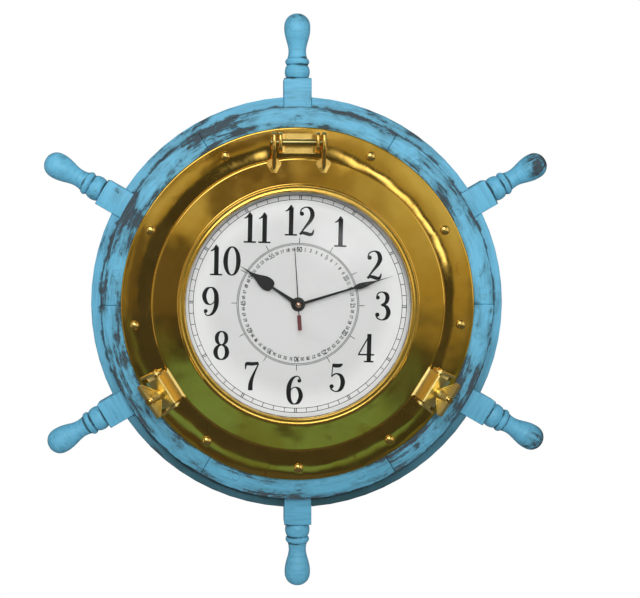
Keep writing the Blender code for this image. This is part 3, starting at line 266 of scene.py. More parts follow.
def worn_paint(name, rubbed, edges, lower_shade, seam, grain=(34, 330, 330), dark_lines=(), handled=()):
    """Sky blue paint on wood. rubbed is how much of it is rubbed through everywhere, each edge is two distances from
    the axis and how much more goes between them, and each handled place is x, z, reach and how much more goes.
    lower_shade is how dark the lower side goes, from one height to another, a painted shade for light that falls
    from above, and dark_lines lie at some distances from the axis."""
    made, shader, spot = clock_finish(name)
    unrolled = along_rim(spot, seam)
    patches = grained(unrolled, (14, 30, 30), 5, 0.66, 0.3)
    streaks = grained(unrolled, grain, 5, 0.62)
    specks = grained(unrolled, (260, 700, 700), 3, 0.6)
    away = distance_out(spot)
    bare = plus(patches, rubbed)
    for start, end, more in edges:
        bare = plus(bare, between(away, start, end, 0.0, more))
    for x, z, reach, more in handled:
        bare = plus(bare, times(within(spot, x, z, 0.3 * reach, reach), more))
    cover = plus(streaks, times(specks, 0.5), times(between(bare, 0.54, 0.8), 0.4))
    through = times(between(cover, 0.86, 1.06), between(bare, 0.5, 0.6))
    paint = blended(cloud(spot, 6, 2), (0.118, 0.455, 0.675), (0.17, 0.54, 0.78))
    brush = grained(unrolled, (26, 300, 300), 4, 0.6)
    paint = blended(between(brush, 0.42, 0.75, 0.0, 0.6), paint, (0.08, 0.3, 0.455))
    # Painted shade: the paint goes darker towards the bottom, standing in for light that falls from above.
    low = plus(fresh("SeparateXYZ", {0: spot}, "Z"), between(cloud(spot, 9, 3), 0.3, 0.7, -0.03, 0.03))
    paint = blended(between(low, 0.0, -0.23, 0.0, lower_shade), paint, (0.006, 0.045, 0.052))
    smudge = times(between(bare, 0.47, 0.66), between(streaks, 0.35, 0.6, 0.2, 0.8))
    paint = blended(smudge, paint, (0.05, 0.165, 0.225))
    fleck = between(grained(unrolled, (120, 420, 420), 2), 0.67, 0.75, 0.0, 0.6)
    paint = blended(fleck, paint, (0.06, 0.15, 0.21))
    # Dark lines at some distances from the axis; on the band and the front ring they are a painted shadow along the
    # step at the front ring's outer edge.
    for place, reach, depth in dark_lines:
        beside = reckoned("ABSOLUTE", reckoned("SUBTRACT", away, place))
        uneven = plus(beside, between(cloud(spot, 60, 3), 0.35, 0.65, -0.4 * reach, 0.6 * reach))
        paint = blended(between(uneven, 0.3 * reach, reach, depth, 0.0), paint, (0.022, 0.04, 0.048))
    wood = blended(specks, (0.012, 0.014, 0.016), (0.08, 0.078, 0.084))
    colour = blended(times(through, 0.86), paint, wood)
    feed(shader, {"Base Color": colour, "Roughness": between(through, 0, 1, 0.5, 0.8), "Specular IOR Level": 0.3})
    relief(shader, reckoned("SUBTRACT", times(streaks, 0.5), through), 0.0004)
    return made


handled = ((0.14, -0.13, 0.15, 0.09), (-0.13, 0.13, 0.14, 0.1), (-0.14, -0.12, 0.08, 0.05), (-0.19, 0.03, 0.05, 0.02))
handled += ((0.1, 0.16, 0.13, 0.05), (0.0, -0.19, 0.1, 0.05))
# The dark line on the band and on the front ring's outer edge is a painted shadow of the step where the two meet.
band_edges, band_step_shadow = ((0.209, 0.217, 0.05),), ((0.2056, 0.0034, 0.9),)
# Painted shade: the band goes nearly black towards the bottom, as if the front ring shaded it from light above.
band_paint = worn_paint("band_paint", -0.06, band_edges, 0.93, 180, dark_lines=band_step_shadow, handled=handled)
ring_edges, ring_step_shadow = ((0.195, 0.2055, 0.1), (0.1925, 0.185, 0.07)), ((0.2052, 0.0012, 0.75),)
# Painted shade: the front ring and its dowels go somewhat darker towards the bottom.
ring_paint = worn_paint("ring_paint", 0.035, ring_edges, 0.26, 150, dark_lines=ring_step_shadow, handled=handled)
dowel_paint = worn_paint("dowel_paint", 0.07, ring_edges, 0.26, 150, handled=handled)
felloe_edge = 0.0006
for number in range(1, 7):
    dressed(f"core_felloe_{number}", band_paint, felloe_edge)
dressed("rear_ring", band_paint, felloe_edge)


def drilled(board, seat, radius, low, high):
    """A board with a round hole through it, from one height to another."""
    return worked(board, sawn(arc(seat, radius, 0, 345, 23), low, high))


def seat_at(radius, clock_degrees):
    """The middle of a hole on a circle round the axle."""
    turn = math.radians(90 - clock_degrees)
    return radius * math.cos(turn), radius * math.sin(turn)


ring_back, ring_front = 0.0383, 0.05
ring_inside, ring_outside = 0.144, 0.2055
joint_gap, ring_edge, hair = 0.00015, 0.0009, 0.000001
dowel_circle, dowel_radius, dowel_depth = 0.1925, 0.0041, 0.0024
dowel_gap, dowel_edge, dowel_sink = 0.0001, 0.0002, 0.00012
overrun = 0.002
outside_turn = math.degrees(math.asin(joint_gap / ring_outside))
inside_turn = math.degrees(math.asin(joint_gap / ring_inside))
for number in range(1, 7):
    spoke_angle = 60 * (number - 1)
    outline = arc((0, 0), ring_outside, 60 + outside_turn, 120 - outside_turn, 40)
    outline += arc((0, 0), ring_inside, 120 - inside_turn, 60 + inside_turn, 40)
    felloe = sawn(outline, ring_back, ring_front)
    rims = [edge for edge in felloe.edges if all(ring_front - end.co.z < hair for end in edge.verts)]
    bmesh.ops.bevel(felloe, geom=rims, offset=ring_edge, segments=3, profile=0.5, affect="EDGES")
    for place, angle in enumerate((-20, 0, 20), 1):
        seat = seat_at(dowel_circle, angle)
        bottom = ring_front - dowel_depth
        felloe = drilled(felloe, seat, dowel_radius, bottom, ring_front + overrun)
        top = ring_front - dowel_sink * ((number * 5 + (place - 2) * 3) % 4)
        side = dowel_radius - dowel_gap
        head = [(0, bottom + dowel_edge), (side, bottom + dowel_edge), (side, top - dowel_edge)]
        head += [(side - dowel_edge, top), (0, top)]
        where = rim_place(spoke_angle) @ Matrix.Translation((*seat, 0))
        clock_piece(f"dowel_{number}_{place}", turned(head, 24), where, dowel_paint, "wheel", "painted_wood")
    where, stands_for = rim_place(spoke_angle), f"face_felloe_{number}"
    clock_piece(f"front_felloe_{number}", felloe, where, ring_paint, "wheel", "painted_wood", stands_for, crease=50)

# Spokes.
# Each spoke is one stick: a square shank that runs through the rim to the clock well, and a handle
# turned on its outer end. It carries the same blue paint, with thin dark lines in the turned grooves.
spoke_middle = 0.02415
shank_half_width, shank_half_depth, shank_edge = 0.0145, 0.01385, 0.0011
shank_start, shank_end = 0.136, 0.236
handle_length, handle_radius = 0.068, 0.0137
tenon_length, tenon_share = 0.02, 0.8


def slab(half_width, start, end, low, high):
    """A straight board of a width, from one y to another and from one height to another."""
    return sawn([(-half_width, start), (half_width, start), (half_width, end), (-half_width, end)], low, high)


def flowing(points, steps=6):
    """A smooth line through some points, ends included; every point may have any number of values."""
    line = []
    for place in range(len(points) - 1):
        before, start, end, after = (Vector(points[min(max(place + k, 0), len(points) - 1)]) for k in (-1, 0, 1, 2))
        for step in range(steps):
            t = step / steps
            bend = 2 * start + (end - before) * t + (2 * before - 5 * start + 4 * end - after) * t * t
            line.append(tuple((bend + (3 * start - before - 3 * end + after) * t * t * t) / 2))
    line.append(tuple(points[-1]))
    return line


handle_runs = (
    ((0.0, 0.8), (0.035, 0.9), (0.1, 0.965), (0.165, 0.915), (0.2, 0.83)),
    ((0.212, 0.79), (0.228, 0.88), (0.262, 0.925), (0.296, 0.86), (0.31, 0.775)),
    ((0.322, 0.745), (0.37, 0.695), (0.44, 0.675), (0.52, 0.745), (0.6, 0.86), (0.69, 0.965),
     (0.775, 1.0), (0.85, 0.965), (0.915, 0.83), (0.962, 0.6), (0.99, 0.33), (1.0, 0.0)),
)
spoke_edges = ((0.284, 0.303, 0.12),)
# Thin dark lines in the turned grooves of the handles.
spoke_groove_lines = ((0.2364, 0.0016, 0.85), (0.2502, 0.0014, 0.8), (0.2577, 0.0014, 0.8))
gripped = ((0.257, 0.149, 0.03, 0.17), (0.258, -0.15, 0.03, 0.17))
# Painted shade: the spokes go a little darker towards the bottom.
spoke_paint = worn_paint("spoke_paint", -0.1, spoke_edges, 0.16, 150, (330, 34, 330), spoke_groove_lines, gripped)
for number in range(1, 7):
    shank = slab(shank_half_width, -shank_half_depth, shank_half_depth, shank_start, shank_end)
    bmesh.ops.bevel(shank, geom=list(shank.edges), offset=shank_edge, segments=3, profile=0.5, affect="EDGES")
    outline = [(0, shank_end - tenon_length), (handle_radius * tenon_share, shank_end - tenon_length)]
    for run in handle_runs:
        smooth = flowing(run)
        outline += [(handle_radius * max(wide, 0), shank_end + handle_length * along) for along, wide in smooth]
    stick = worked(shank, turned(outline), "UNION")
    lying = Matrix.Translation((0, 0, spoke_middle)) @ Matrix.Rotation(math.radians(-90), 4, "X")
    where, stands_for = rim_place(60 * (number - 1)) @ lying, f"spoke_handle_{number}"
    clock_piece(f"turned_spoke_{number}", stick, where, spoke_paint, "wheel", "painted_wood", stands_for, crease=40)

# Hanger.
# A zinc plated keyhole plate is let in flush at the top of the rear ring and takes the nail in the
# wall. Two countersunk screws hold it.


def mottled(name, grain, colours, roughness, metallic=0.0, specular=0.5, raised=0.0):
    """A finish that varies a little between two colours and two roughnesses, and may have a raised grain."""
    made, shader, spot = clock_finish(name)
    pattern = cloud(spot, *grain)
    feed(shader, {"Base Color": blended(pattern, *colours), "Roughness": between(pattern, 0.3, 0.7, *roughness)})
    feed(shader, {"Metallic": metallic, "Specular IOR Level": specular})
    if raised:
        relief(shader, pattern, raised)
    return made


zinc = mottled("zinc_plate", (260, 2), ((0.42, 0.43, 0.45), (0.62, 0.63, 0.65)), (0.32, 0.5), metallic=1.0)
dressed("hanger_plate", zinc, 0.0002)
plate_middle, plate_screw_reach = 0.17525, 0.0164
slot_reach, slot_half, slot_floor = 0.0018, 0.0003, 0.0004
for name, side in (("hanger_screw_low", -1), ("hanger_screw_high", 1)):
    head = turned([(0, -0.0003), (0.0022, -0.0003), (0.0029, 0.0001), (0.0016, 0.0012), (0, 0.0012)], 32)
    for turn in (20, 110):
        cross = slab(slot_reach, -slot_half, slot_half, -0.001, slot_floor)
        bmesh.ops.rotate(cross, matrix=Matrix.Rotation(math.radians(turn), 3, "Z"), verts=cross.verts)
        head = worked(head, cross)
    clock_piece(name, head, rim_place(0, plate_middle + side * plate_screw_reach), zinc, "wheel", "zinc_steel")

# Porthole flange and screws.
# The flange is a flat ring of cast brass, polished by hand so that its face is a little wavy, with a
# rounded edge. Nine domed brass screws hold it to the front ring of the rim.


def hand_polished(name, wave, tarnish, dull=0.0, fresh_tone=(0.79, 0.515, 0.115), aged=(0.74, 0.455, 0.085), matt=0.0):
    """Polished brass. wave is how far its face wanders from flat, in metres, tarnish how brown it has gone and dull
    how much rougher than the best polish it is. matt is the radius inside which the polish is softer."""
    made, shader, spot = clock_finish(name)
    colour = blended(between(cloud(spot, 16, 3, 0.6, 0.6), 0.35, 0.7), fresh_tone, aged)
    stain = between(cloud(spot, 42, 5, 0.65, 1.2), 0.6, 0.74, 0.0, tarnish)
    haze = between(cloud(spot, 30, 4, 0.6), 0.3, 0.75, 0.04 + dull, 0.09 + dull)
    scratches = between(grained(spot, (2600, 2600, 300), 2, 0.5), 0.55, 0.8, 0.0, 0.04)
    rough = plus(haze, times(stain, 0.12), scratches)
    if matt:
        rough = plus(rough, between(distance_out(spot), matt, matt + 0.0008, 0.13, 0.0))
    feed(shader, {"Base Color": blended(stain, colour, (0.33, 0.17, 0.04)), "Metallic": 1.0, "Roughness": rough})
    relief(shader, plus(cloud(spot, 9, 1, 0.4), times(cloud(spot, 38, 1, 0.4), 0.09)), wave)
    return made


def brass_piece(name, solid, place, finish, body, stands_for, **looks):
    """A brass piece of the porthole."""
    clock_piece(name, solid, place, finish, body, "polished_brass", stands_for, **looks)


brass = hand_polished("hand_polished_brass", 0.0026, 0.35)
cast_brass = hand_polished("cast_brass", 0.0006, 0.45, 0.09, (0.84, 0.6, 0.19), (0.78, 0.52, 0.14))
bent_brass = hand_polished("bent_brass", 0.0008, 0.3, 0.27, (0.9, 0.745, 0.3), (0.85, 0.65, 0.23))
flange_back, flange_front = 0.0503, 0.0533
flange_outside, flange_inside = 0.1845, 0.14
spigot_outside, spigot_back = 0.1427, 0.0416
flange_round, flange_corner = 0.0018, 0.0004
outline = [(flange_outside, flange_back)]
outline += arc((flange_outside - flange_round, flange_front - flange_round), flange_round, 0, 90, 7)
outline += arc((flange_inside + flange_corner, flange_front - flange_corner), flange_corner, 90, 180, 3)
outline += [(flange_inside, spigot_back), (spigot_outside, spigot_back), (spigot_outside, flange_back)]
flange = turned(outline, 180, hollow=True)
screw_circle, screw_bore = 0.1715, 0.0022
screw_places = (26, 63, 97, 146, 180, 214, 263, 297, 334)
for angle in screw_places:
    flange = drilled(flange, seat_at(screw_circle, angle), screw_bore, flange_back - overrun, flange_front + overrun)
brass_piece("flange_ring", flange, rim_place(), brass, "wheel", "porthole_flange")

dome_radius, dome_height, head_rim = 0.005, 0.0031, 0.0003
screw_shank, screw_end, screw_point = 0.0019, 0.0415, 0.001
fit = 0.0003


def dome(radius, height, base):
    """The outline of a rounded head, from its edge to its top, above a base."""
    rounded = [(radius * across, base + height * up) for across, up in arc((0, 0), 1, 0, 90, 8)]
    return [*rounded[:-1], (0, base + height)]


for number, angle in enumerate(screw_places, 1):
    under = flange_front + fit
    outline = [*reversed(dome(dome_radius, dome_height - head_rim, under + head_rim)), (dome_radius, under)]
    outline += [(screw_shank, under), (screw_shank, screw_end), (0, screw_end - screw_point)]
    screw, where = turned(outline, 32), rim_place(angle, screw_circle)
    brass_piece(f"screw_{number}", screw, where, cast_brass, "wheel", f"flange_screw_{number}", crease=50)

# Window.
# The window is a pressed brass frame with a double bead round its opening. A pane of clear glass lies
# behind the lip of the opening, on a black rubber gasket.
window_outside, window_seat, band_edge = 0.153, 0.0536, 0.0616
skirt_round, skirt_wall = 0.0024, 0.0028
bead_outside, bead_foot, bead_top, bead_round = 0.1249, 0.0626, 0.0653, 0.001
outer_bead, inner_bead = (0.1233, bead_top - 0.001), (0.11905, bead_top - 0.00105)
opening, lip_back, rebate_outside, rebate_back = 0.1172, 0.0605, 0.1228, 0.0549
rebate_wall = 0.0028
band = ((0.15, 0.06162), (0.142, 0.0618), (0.134, 0.06198), (0.1272, 0.06213), (0.1256, 0.06222), (0.1247, 0.06275))
furrow = ((0.1226, 0.00012), (0.1217, 0.00034), (0.1207, 0.00034), (0.1198, 0.0001))
lip = ((0.1179, 0.064), (0.11745, 0.0631), (opening + 0.0001, 0.0621), (opening, 0.0614))
outline = [(window_outside, window_seat)]
outline += arc((window_outside - skirt_round, band_edge - skirt_round), skirt_round, 0, 88, 8)
outline += flowing(band, 4)
outline += arc(outer_bead, bead_round, 14, 80, 6)
outline += flowing([(radius, bead_top - deep) for radius, deep in furrow], 3)
outline += arc(inner_bead, bead_round, 88, 150, 6)
outline += flowing(lip, 3)
outline += [(opening, lip_back), (rebate_outside, lip_back), (rebate_outside, rebate_back)]
outline += [(rebate_outside + rebate_wall, rebate_back), (rebate_outside + rebate_wall, bead_foot - skirt_wall - fit)]
outline += [(window_outside - skirt_wall, band_edge - skirt_wall), (window_outside - skirt_wall, window_seat)]
window_brass = hand_polished("window_brass", 0.0024, 0.25, matt=bead_outside)
brass_piece("beaded_frame", turned(outline, 180, hollow=True), rim_place(), window_brass, "window", "window_frame")


def shown(finish, surface):
    """Makes a surface the one that a finish shows."""
    feed(finish.node_tree.nodes["Material Output"], {"Surface": surface})


def light_path(finish):
    """What a finish can tell of the ray that meets it."""
    return finish.node_tree.nodes.new("ShaderNodeLightPath").outputs


pane, shader, spot = clock_finish("window_pane_glass")
feed(shader, {"Base Color": (0.98, 0.99, 0.985), "Roughness": 0.0, "IOR": 1.45, "Transmission Weight": 1.0})
relief(shader, cloud(spot, 6, 1, 0.4), 0.0002)
clear = pane.node_tree.nodes.new("ShaderNodeBsdfTransparent").outputs[0]
shown(pane, fresh("MixShader", {0: light_path(pane)["Is Shadow Ray"], 1: shader.outputs[0], 2: clear}))
dressed("window_glass", pane)
rubber = mottled("black_gasket_rubber", (120, 3), ((0.01, 0.01, 0.01), (0.03, 0.03, 0.03)), (0.6, 0.85))
dressed("glass_gasket", rubber)

# Hinge.
# The hinge at the top is cast brass: a plate with two ears is brazed to the flange, and two arms with
# flared feet on the window turn on the ends of the pin that the ears carry.
hinge_out, hinge_up = 0.168, 0.068
hinge_bore = 0.0034


def laid_across(solid):
    """The same solid with its height turned to lie across the wheel."""
    for corner in solid.verts:
        corner.co = corner.co.zxy
    return solid


def from_the_side(outline, half_width):
    """A piece cut to an outline seen from the side, as distances away from the axle and out from the wall."""
    return laid_across(sawn(outline, -half_width, half_width))


def rod(radius, start, end):
    """The outline of a plain round bar."""
    return [(0, start), (radius, start), (radius, end), (0, end)]


def cross_bored(piece, radius, half_length, place=(0, 0, 0), steps=24):
    """A piece with a round hole from side to side, its middle at a place."""
    bore = laid_across(turned(rod(radius, -half_length, half_length), steps))
    bmesh.ops.translate(bore, vec=place, verts=bore.verts)
    return worked(piece, bore)


def cross_pin(radius, half_length, steps, tip=0.0008):
    """A plain pin with rounded ends, laid across."""
    end = arc((radius - tip, half_length - tip), tip, 0, 90, 4)
    outline = [(0, -half_length), *[(x, -y) for x, y in reversed(end)], *end, (0, half_length)]
    return laid_across(turned(outline, steps))


def drawn(sections):
    """A solid through some cross sections, each a distance from the axle and an outline of x and height."""
    return skinned([[(x, away, out) for x, out in outline] for away, outline in sections])


def rounded_bar(rows, middle, half_width, rounding):
    """A bar with a rounded front; every row is a distance from the axle, the height of its back and of its front."""
    turns = [math.radians(-90 + 15 * step) for step in range(13)]
    sections = []
    for away, back, front in rows:
        over = [(middle + half_width * math.sin(t), front - rounding * (1 - math.cos(t))) for t in turns]
        sections.append((away, [(middle - half_width, back), *over, (middle + half_width, back)]))
    return drawn(sections)


ear_middle, ear_half, ear_rounding, ear_foot = 0.0191, 0.002, 0.0024, 0.0548
plate_back, plate_front = 0.0536, 0.0561
plate_low, plate_high, plate_half = 0.157, 0.1775, 0.0211
hinge_place = (0, hinge_out, hinge_up)
plate = slab(plate_half, plate_low, plate_high, plate_back, plate_front)
ear_fronts = ((0.1572, 0.0585), (0.158, 0.066), (0.1592, 0.0728), (0.1606, 0.0752), (0.1625, 0.0761))
ear_fronts += ((0.1745, 0.0764), (0.1763, 0.0755), (0.1774, 0.0732), (0.178, 0.069))
fillet_side = ((0.018, -0.0011), (0.018, 0.0026), (0.0168, 0.0022), (0.0136, 0.0004), (0.0132, -0.0011))
for side in (-1, 1):
    rows = [(away, ear_foot, front) for away, front in ear_fronts]
    plate = worked(plate, rounded_bar(rows, side * ear_middle, ear_half, ear_rounding), "UNION")
    fillet = [(side * x, plate_front + up) for x, up in fillet_side]
    plate = worked(plate, drawn([(plate_low + 0.0012, fillet), (plate_high - 0.001, fillet)]), "UNION")
ears = cross_bored(plate, hinge_bore, 0.03, hinge_place, 40)
brass_piece("hinge_ears", ears, rim_place(), cast_brass, "wheel", "hinge_base", crease=40)

arm_middle, arm_half, arm_rounding = 0.0255, 0.0022, 0.0026
band_top, foot_sink = 0.0624, 0.0006
skirt_top, skirt_middle, skirt_fall = 0.0612, 0.1534, 0.0008 / 0.0017
arm_rows = [(0.1376, band_top - foot_sink, band_top + 0.0016)]
arm_fronts = ((0.1386, 0.065), (0.143, 0.0668), (0.149, 0.0702), (0.155, 0.0742), (0.1596, 0.0764))
for away, front in flowing(arm_fronts, 3):
    arm_rows.append((away, min(band_top - foot_sink, skirt_top + skirt_fall * (skirt_middle - away)), front))
arm_rows += [(0.1612, 0.0624, 0.077), (0.1748, 0.0645, 0.0774), (0.1764, 0.065, 0.0765)]
arm_rows += [(0.1774, 0.066, 0.0742), (0.1779, 0.0672, 0.0705)]
foot_rows = ((0.1368, 0.0024), (0.1385, 0.0034), (0.142, 0.0054), (0.1455, 0.0074))
foot_rows += ((0.1474, 0.0075), (0.149, 0.0062), (0.1506, 0.0038), (0.1514, 0.0026))
ridge_half, ridge_up, foot_slope = 0.0018, 0.0034, 0.56
for name, side in (("left", -1), ("right", 1)):
    middle = side * arm_middle
    foot = []
    for away, half in foot_rows:
        low = ridge_up - foot_slope * (half - ridge_half)
        ridge = [(-half, -foot_sink), (-half, low), (-ridge_half, ridge_up)]
        ridge += [(-x, height) for x, height in reversed(ridge)]
        foot.append((away, [(middle + x, band_top + height) for x, height in ridge]))
    arm = worked(rounded_bar(arm_rows, middle, arm_half, arm_rounding), drawn(foot), "UNION")
    arm = cross_bored(arm, hinge_bore, 0.01, (middle, hinge_out, hinge_up), 40)
    brass_piece(f"arm_{name}", arm, rim_place(), cast_brass, "window", f"hinge_arm_{name}", crease=40)
pin_brass = hand_polished("dull_pin_brass", 0.0004, 0.6, 0.24, (0.4, 0.34, 0.13), (0.3, 0.25, 0.09))
brass_piece("hinge_rod", cross_pin(0.0031, 0.0293, 40), rim_place(*hinge_place), pin_brass, "wheel", "hinge_pin")

# Dogs.
# Two dogs hold the window shut. Each is an eye bolt that swings in a channel on the flange and lies in
# the slot of a bent lug on the window, with a cast wing nut to draw it down. All are brass.
pivot_away, pivot_out, lean = 0.163, 0.0599, 35
saddle, lug_thickness, lug_half_width, nose_flare, lug_edge = 0.014, 0.003, 0.0158, 0.0025, 0.0004
slot_half, slot_bottom, slot_top = 0.0043, 0.0042, 0.028
pivot = Vector((pivot_away, pivot_out))
leaning = Vector((math.sin(math.radians(lean)), math.cos(math.radians(lean))))
downhill = Vector((leaning.y, -leaning.x))
crest = pivot + leaning * saddle - downhill * 0.0125
crest_under = pivot + leaning * (saddle - lug_thickness) - downhill * 0.0095
toe = Vector((0.1499, 0.0636))
toe_seat = 0.06205
rise = crest - toe
lug_side = [(0.1492, toe_seat), (0.1492, 0.0627), (0.1513, 0.06345)]
roof = ((0.1517, 0.0637), (0.1538, 0.0661), (0.1565, 0.0703), (0.1584, 0.0747), (0.1593, 0.0777))
lug_side += flowing(roof, 3)
lug_side += [(0.1597, 0.0782), (0.1613, 0.0787)]
lug_side += arc(tuple(pivot), saddle, 90 - lean, 90 - lean - 50, 12)
lug_side += arc(tuple(pivot), saddle - lug_thickness, 90 - lean - 50, 90 - lean, 12)
lug_side += [tuple(crest_under)]
ceiling = ((0.86, 0.47), (0.64, 0.18), (0.49, 0.0))
lug_side += flowing([(toe.x + rise.x * out, toe.y + rise.y * up) for out, up in ceiling], 3)
lug_side += [(0.1554, 0.0567), (0.1533, 0.0567), (0.1533, 0.0595), (0.1526, 0.0612), (0.1509, 0.0619)]

yoke_start, yoke_length, yoke_floor_length, yoke_splay = 0.156, 0.024, 0.0185, 9
yoke_wall, yoke_inside, yoke_edge = 0.0025, 0.017, 0.001
yoke_foot, yoke_floor = flange_front + fit, flange_front + 0.0021
back_height, front_height, ear_radius = 0.0055, 0.0035, 0.0064
splay = math.tan(math.radians(yoke_splay))
wall = yoke_wall / math.cos(math.radians(yoke_splay))
yoke_middle = yoke_inside + wall / 2
yoke_end = yoke_start + yoke_length
floor_end = yoke_start + yoke_floor_length
yoke_side = [(yoke_start, yoke_foot), (yoke_start, yoke_foot + back_height)]
yoke_side += [*arc(tuple(pivot), ear_radius, 160, 30, 14), (yoke_end, yoke_foot + front_height), (yoke_end, yoke_foot)]
pivot_bore, pivot_radius = 0.0028, 0.0025
pin_half = yoke_inside + wall + (pivot_away - yoke_start) * splay + 0.0015

bolt_radius, thread_start, thread_pitch, thread_depth = 0.003, 0.0195, 0.001, 0.00045
eye_radius, eye_half, eye_round = 0.0042, 0.0045, 0.0007
nut_foot, nut_top, nut_bore, nut_edge = 0.0143, 0.0338, 0.0033, 0.0006
wing_half_thickness, web_half_thickness = 0.0021, 0.0011
wing_side = [(0.0049, nut_foot + 0.0008), (0.0192, nut_top - 0.0044), (0.0192, nut_top - 0.0012), (0.0182, nut_top)]
pocket = [(0.0066, nut_foot + 0.0048), (0.0164, nut_top - 0.0042)]
pocket += [(0.0164, nut_top - 0.0029), (0.0066, nut_top - 0.0029)]
hub_side = [(0, 0), (0.0052, 0), (0.0056, 0.0005), (0.0056, 0.0046)]
hub_side += flowing([(0.0055, 0.0052), (0.0049, 0.0072), (0.0046, 0.009)], 3)
hub_side += [(0.0046, 0.0166), (0.0042, 0.017), (0, 0.017)]


def mirrored(side):
    """A whole outline from its right side."""
    return side + [(-x, y) for x, y in reversed(side)]


def threaded(radius, start, end, pitch, depth, steps=28):
    """A cut thread from one height to another, with a plain end on both sides."""
    rows = []
    levels = int((end - start) / pitch * 5)
    for level in range(levels + 1):
        height = start + (end - start) * level / levels
        fade = min(1.0, level / 5, (levels - level) / 5)
        ring = []
        for step in range(steps):
            turn = height / pitch - step / steps
            cut = depth * fade * abs(2 * (turn - math.floor(turn)) - 1)
            angle = math.tau * step / steps
            ring.append(((radius - cut) * math.sin(angle), (radius - cut) * math.cos(angle), height))
        rows.append(ring)
    return skinned(rows)


for side, angle in (("left", -122), ("right", 122)):
    lug = from_the_side(lug_side, lug_half_width)
    for corner in lug.verts:
        if corner.co.y < toe.x + hair:
            corner.co.x += math.copysign(nose_flare, corner.co.x)
    slot_outline = [*arc((0, 0), slot_half, 180, 360, 18), (slot_half, slot_top), (-slot_half, slot_top)]
    slot = sawn(slot_outline, slot_bottom, slot_top)
    swing = Matrix.Translation((0, pivot_away, pivot_out)) @ Matrix.Rotation(math.radians(-lean), 4, "X")
    bmesh.ops.transform(slot, matrix=swing, verts=slot.verts)
    lug = worked(lug, slot)
    brass_piece(f"lug_{side}", lug, rim_place(angle), bent_brass, "window", f"dog_lug_{side}", edge=lug_edge)

    corners = [(yoke_middle, yoke_start), (yoke_middle + yoke_floor_length * splay, floor_end)]
    channel = sawn(mirrored(corners), yoke_foot, yoke_floor)
    for hand in (-1, 1):
        cheek = from_the_side(yoke_side, wall / 2)
        for corner in cheek.verts:
            corner.co.x += hand * (yoke_middle + (corner.co.y - yoke_start) * splay)
        channel = worked(channel, cheek, "UNION")
    channel = cross_bored(channel, pivot_bore, 0.035, (0, pivot_away, pivot_out))
    brass_piece(f"yoke_{side}", channel, rim_place(angle), bent_brass, "wheel", f"dog_yoke_{side}", edge=yoke_edge)
    pin, where = cross_pin(pivot_radius, pin_half, 32), rim_place(angle, pivot_away, pivot_out)
    brass_piece(f"pivot_pin_{side}", pin, where, cast_brass, "wheel", f"dog_pin_{side}")

    where = rim_place(angle) @ swing
    bolt = turned(rod(bolt_radius, 0, thread_start + thread_pitch), 28)
    thread = threaded(bolt_radius, thread_start, nut_top + 0.0008, thread_pitch, thread_depth)
    bolt = worked(worked(bolt, thread, "UNION"), cross_pin(eye_radius, eye_half, 36, eye_round), "UNION")
    bolt = cross_bored(bolt, pivot_bore, 0.008)
    brass_piece(f"eye_bolt_{side}", bolt, where, cast_brass, f"dog_{side}", f"swing_bolt_{side}")

    nut = sawn(mirrored(wing_side), -wing_half_thickness, wing_half_thickness)
    for face in (-1, 1):
        for hand in (-1, 1):
            cut = sawn([(hand * x, y) for x, y in pocket], face * web_half_thickness, face * 0.004)
            nut = worked(nut, cut)
    bmesh.ops.transform(nut, matrix=Matrix.Rotation(math.radians(90), 4, "X"), verts=nut.verts)
    hub = turned([(radius, nut_foot + height) for radius, height in hub_side], 36)
    nut = worked(nut, hub, "UNION")
    nut = worked(nut, turned(rod(nut_bore, nut_foot - overrun, nut_top + overrun), 28))
    brass_piece(f"winged_nut_{side}", nut, where, bent_brass, f"nut_{side}", f"wing_nut_{side}", edge=nut_edge)

# Dial.
# The dial is a printed off-white card on a fibreboard disc, which rests on a ledge inside the rim. It
# carries bold serif numerals, a railway minute track and a fine inner ring of minute numbers.
board, shader, spot = clock_finish("fibreboard_disc")
fibres = grained(spot, (700, 700, 300), 4, 0.7)
brown = blended(fibres, (0.2, 0.12, 0.065), (0.36, 0.24, 0.15))
feed(shader, {"Base Color": brown, "Roughness": between(fibres, 0.3, 0.7, 0.8, 0.95)})
relief(shader, fibres, 0.0002)
dressed("dial_board", board)

card, shader, spot = clock_finish("printed_card")
tooth = cloud(spot, 900, 3)
tint = blended(cloud(spot, 8, 2), (0.53, 0.53, 0.535), (0.565, 0.565, 0.565))
# Painted light: the card is made lighter towards its edge, against the shade that the deep window casts there.
tint = blended(between(distance_out(spot), 0.08, 0.112), tint, (0.73, 0.73, 0.73))
tint = blended(between(tooth, 0.4, 0.8, 0.0, 0.2), tint, (0.49, 0.49, 0.5))
feed(shader, {"Base Color": tint, "Roughness": between(tooth, 0.3, 0.7, 0.42, 0.55)})
relief(shader, tooth, 0.00002)
dressed("dial_card", card)

black = ((0.002, 0.002, 0.002), (0.007, 0.007, 0.008))
grey = ((0.045, 0.045, 0.045), (0.1, 0.1, 0.1))
black_ink = mottled("black_ink", (700, 3), black, (0.35, 0.5), specular=0.1)
grey_ink = mottled("grey_ink", (700, 3), grey, (0.35, 0.5), specular=0.1)
ink_back, ink_front = 0.04212, 0.04216


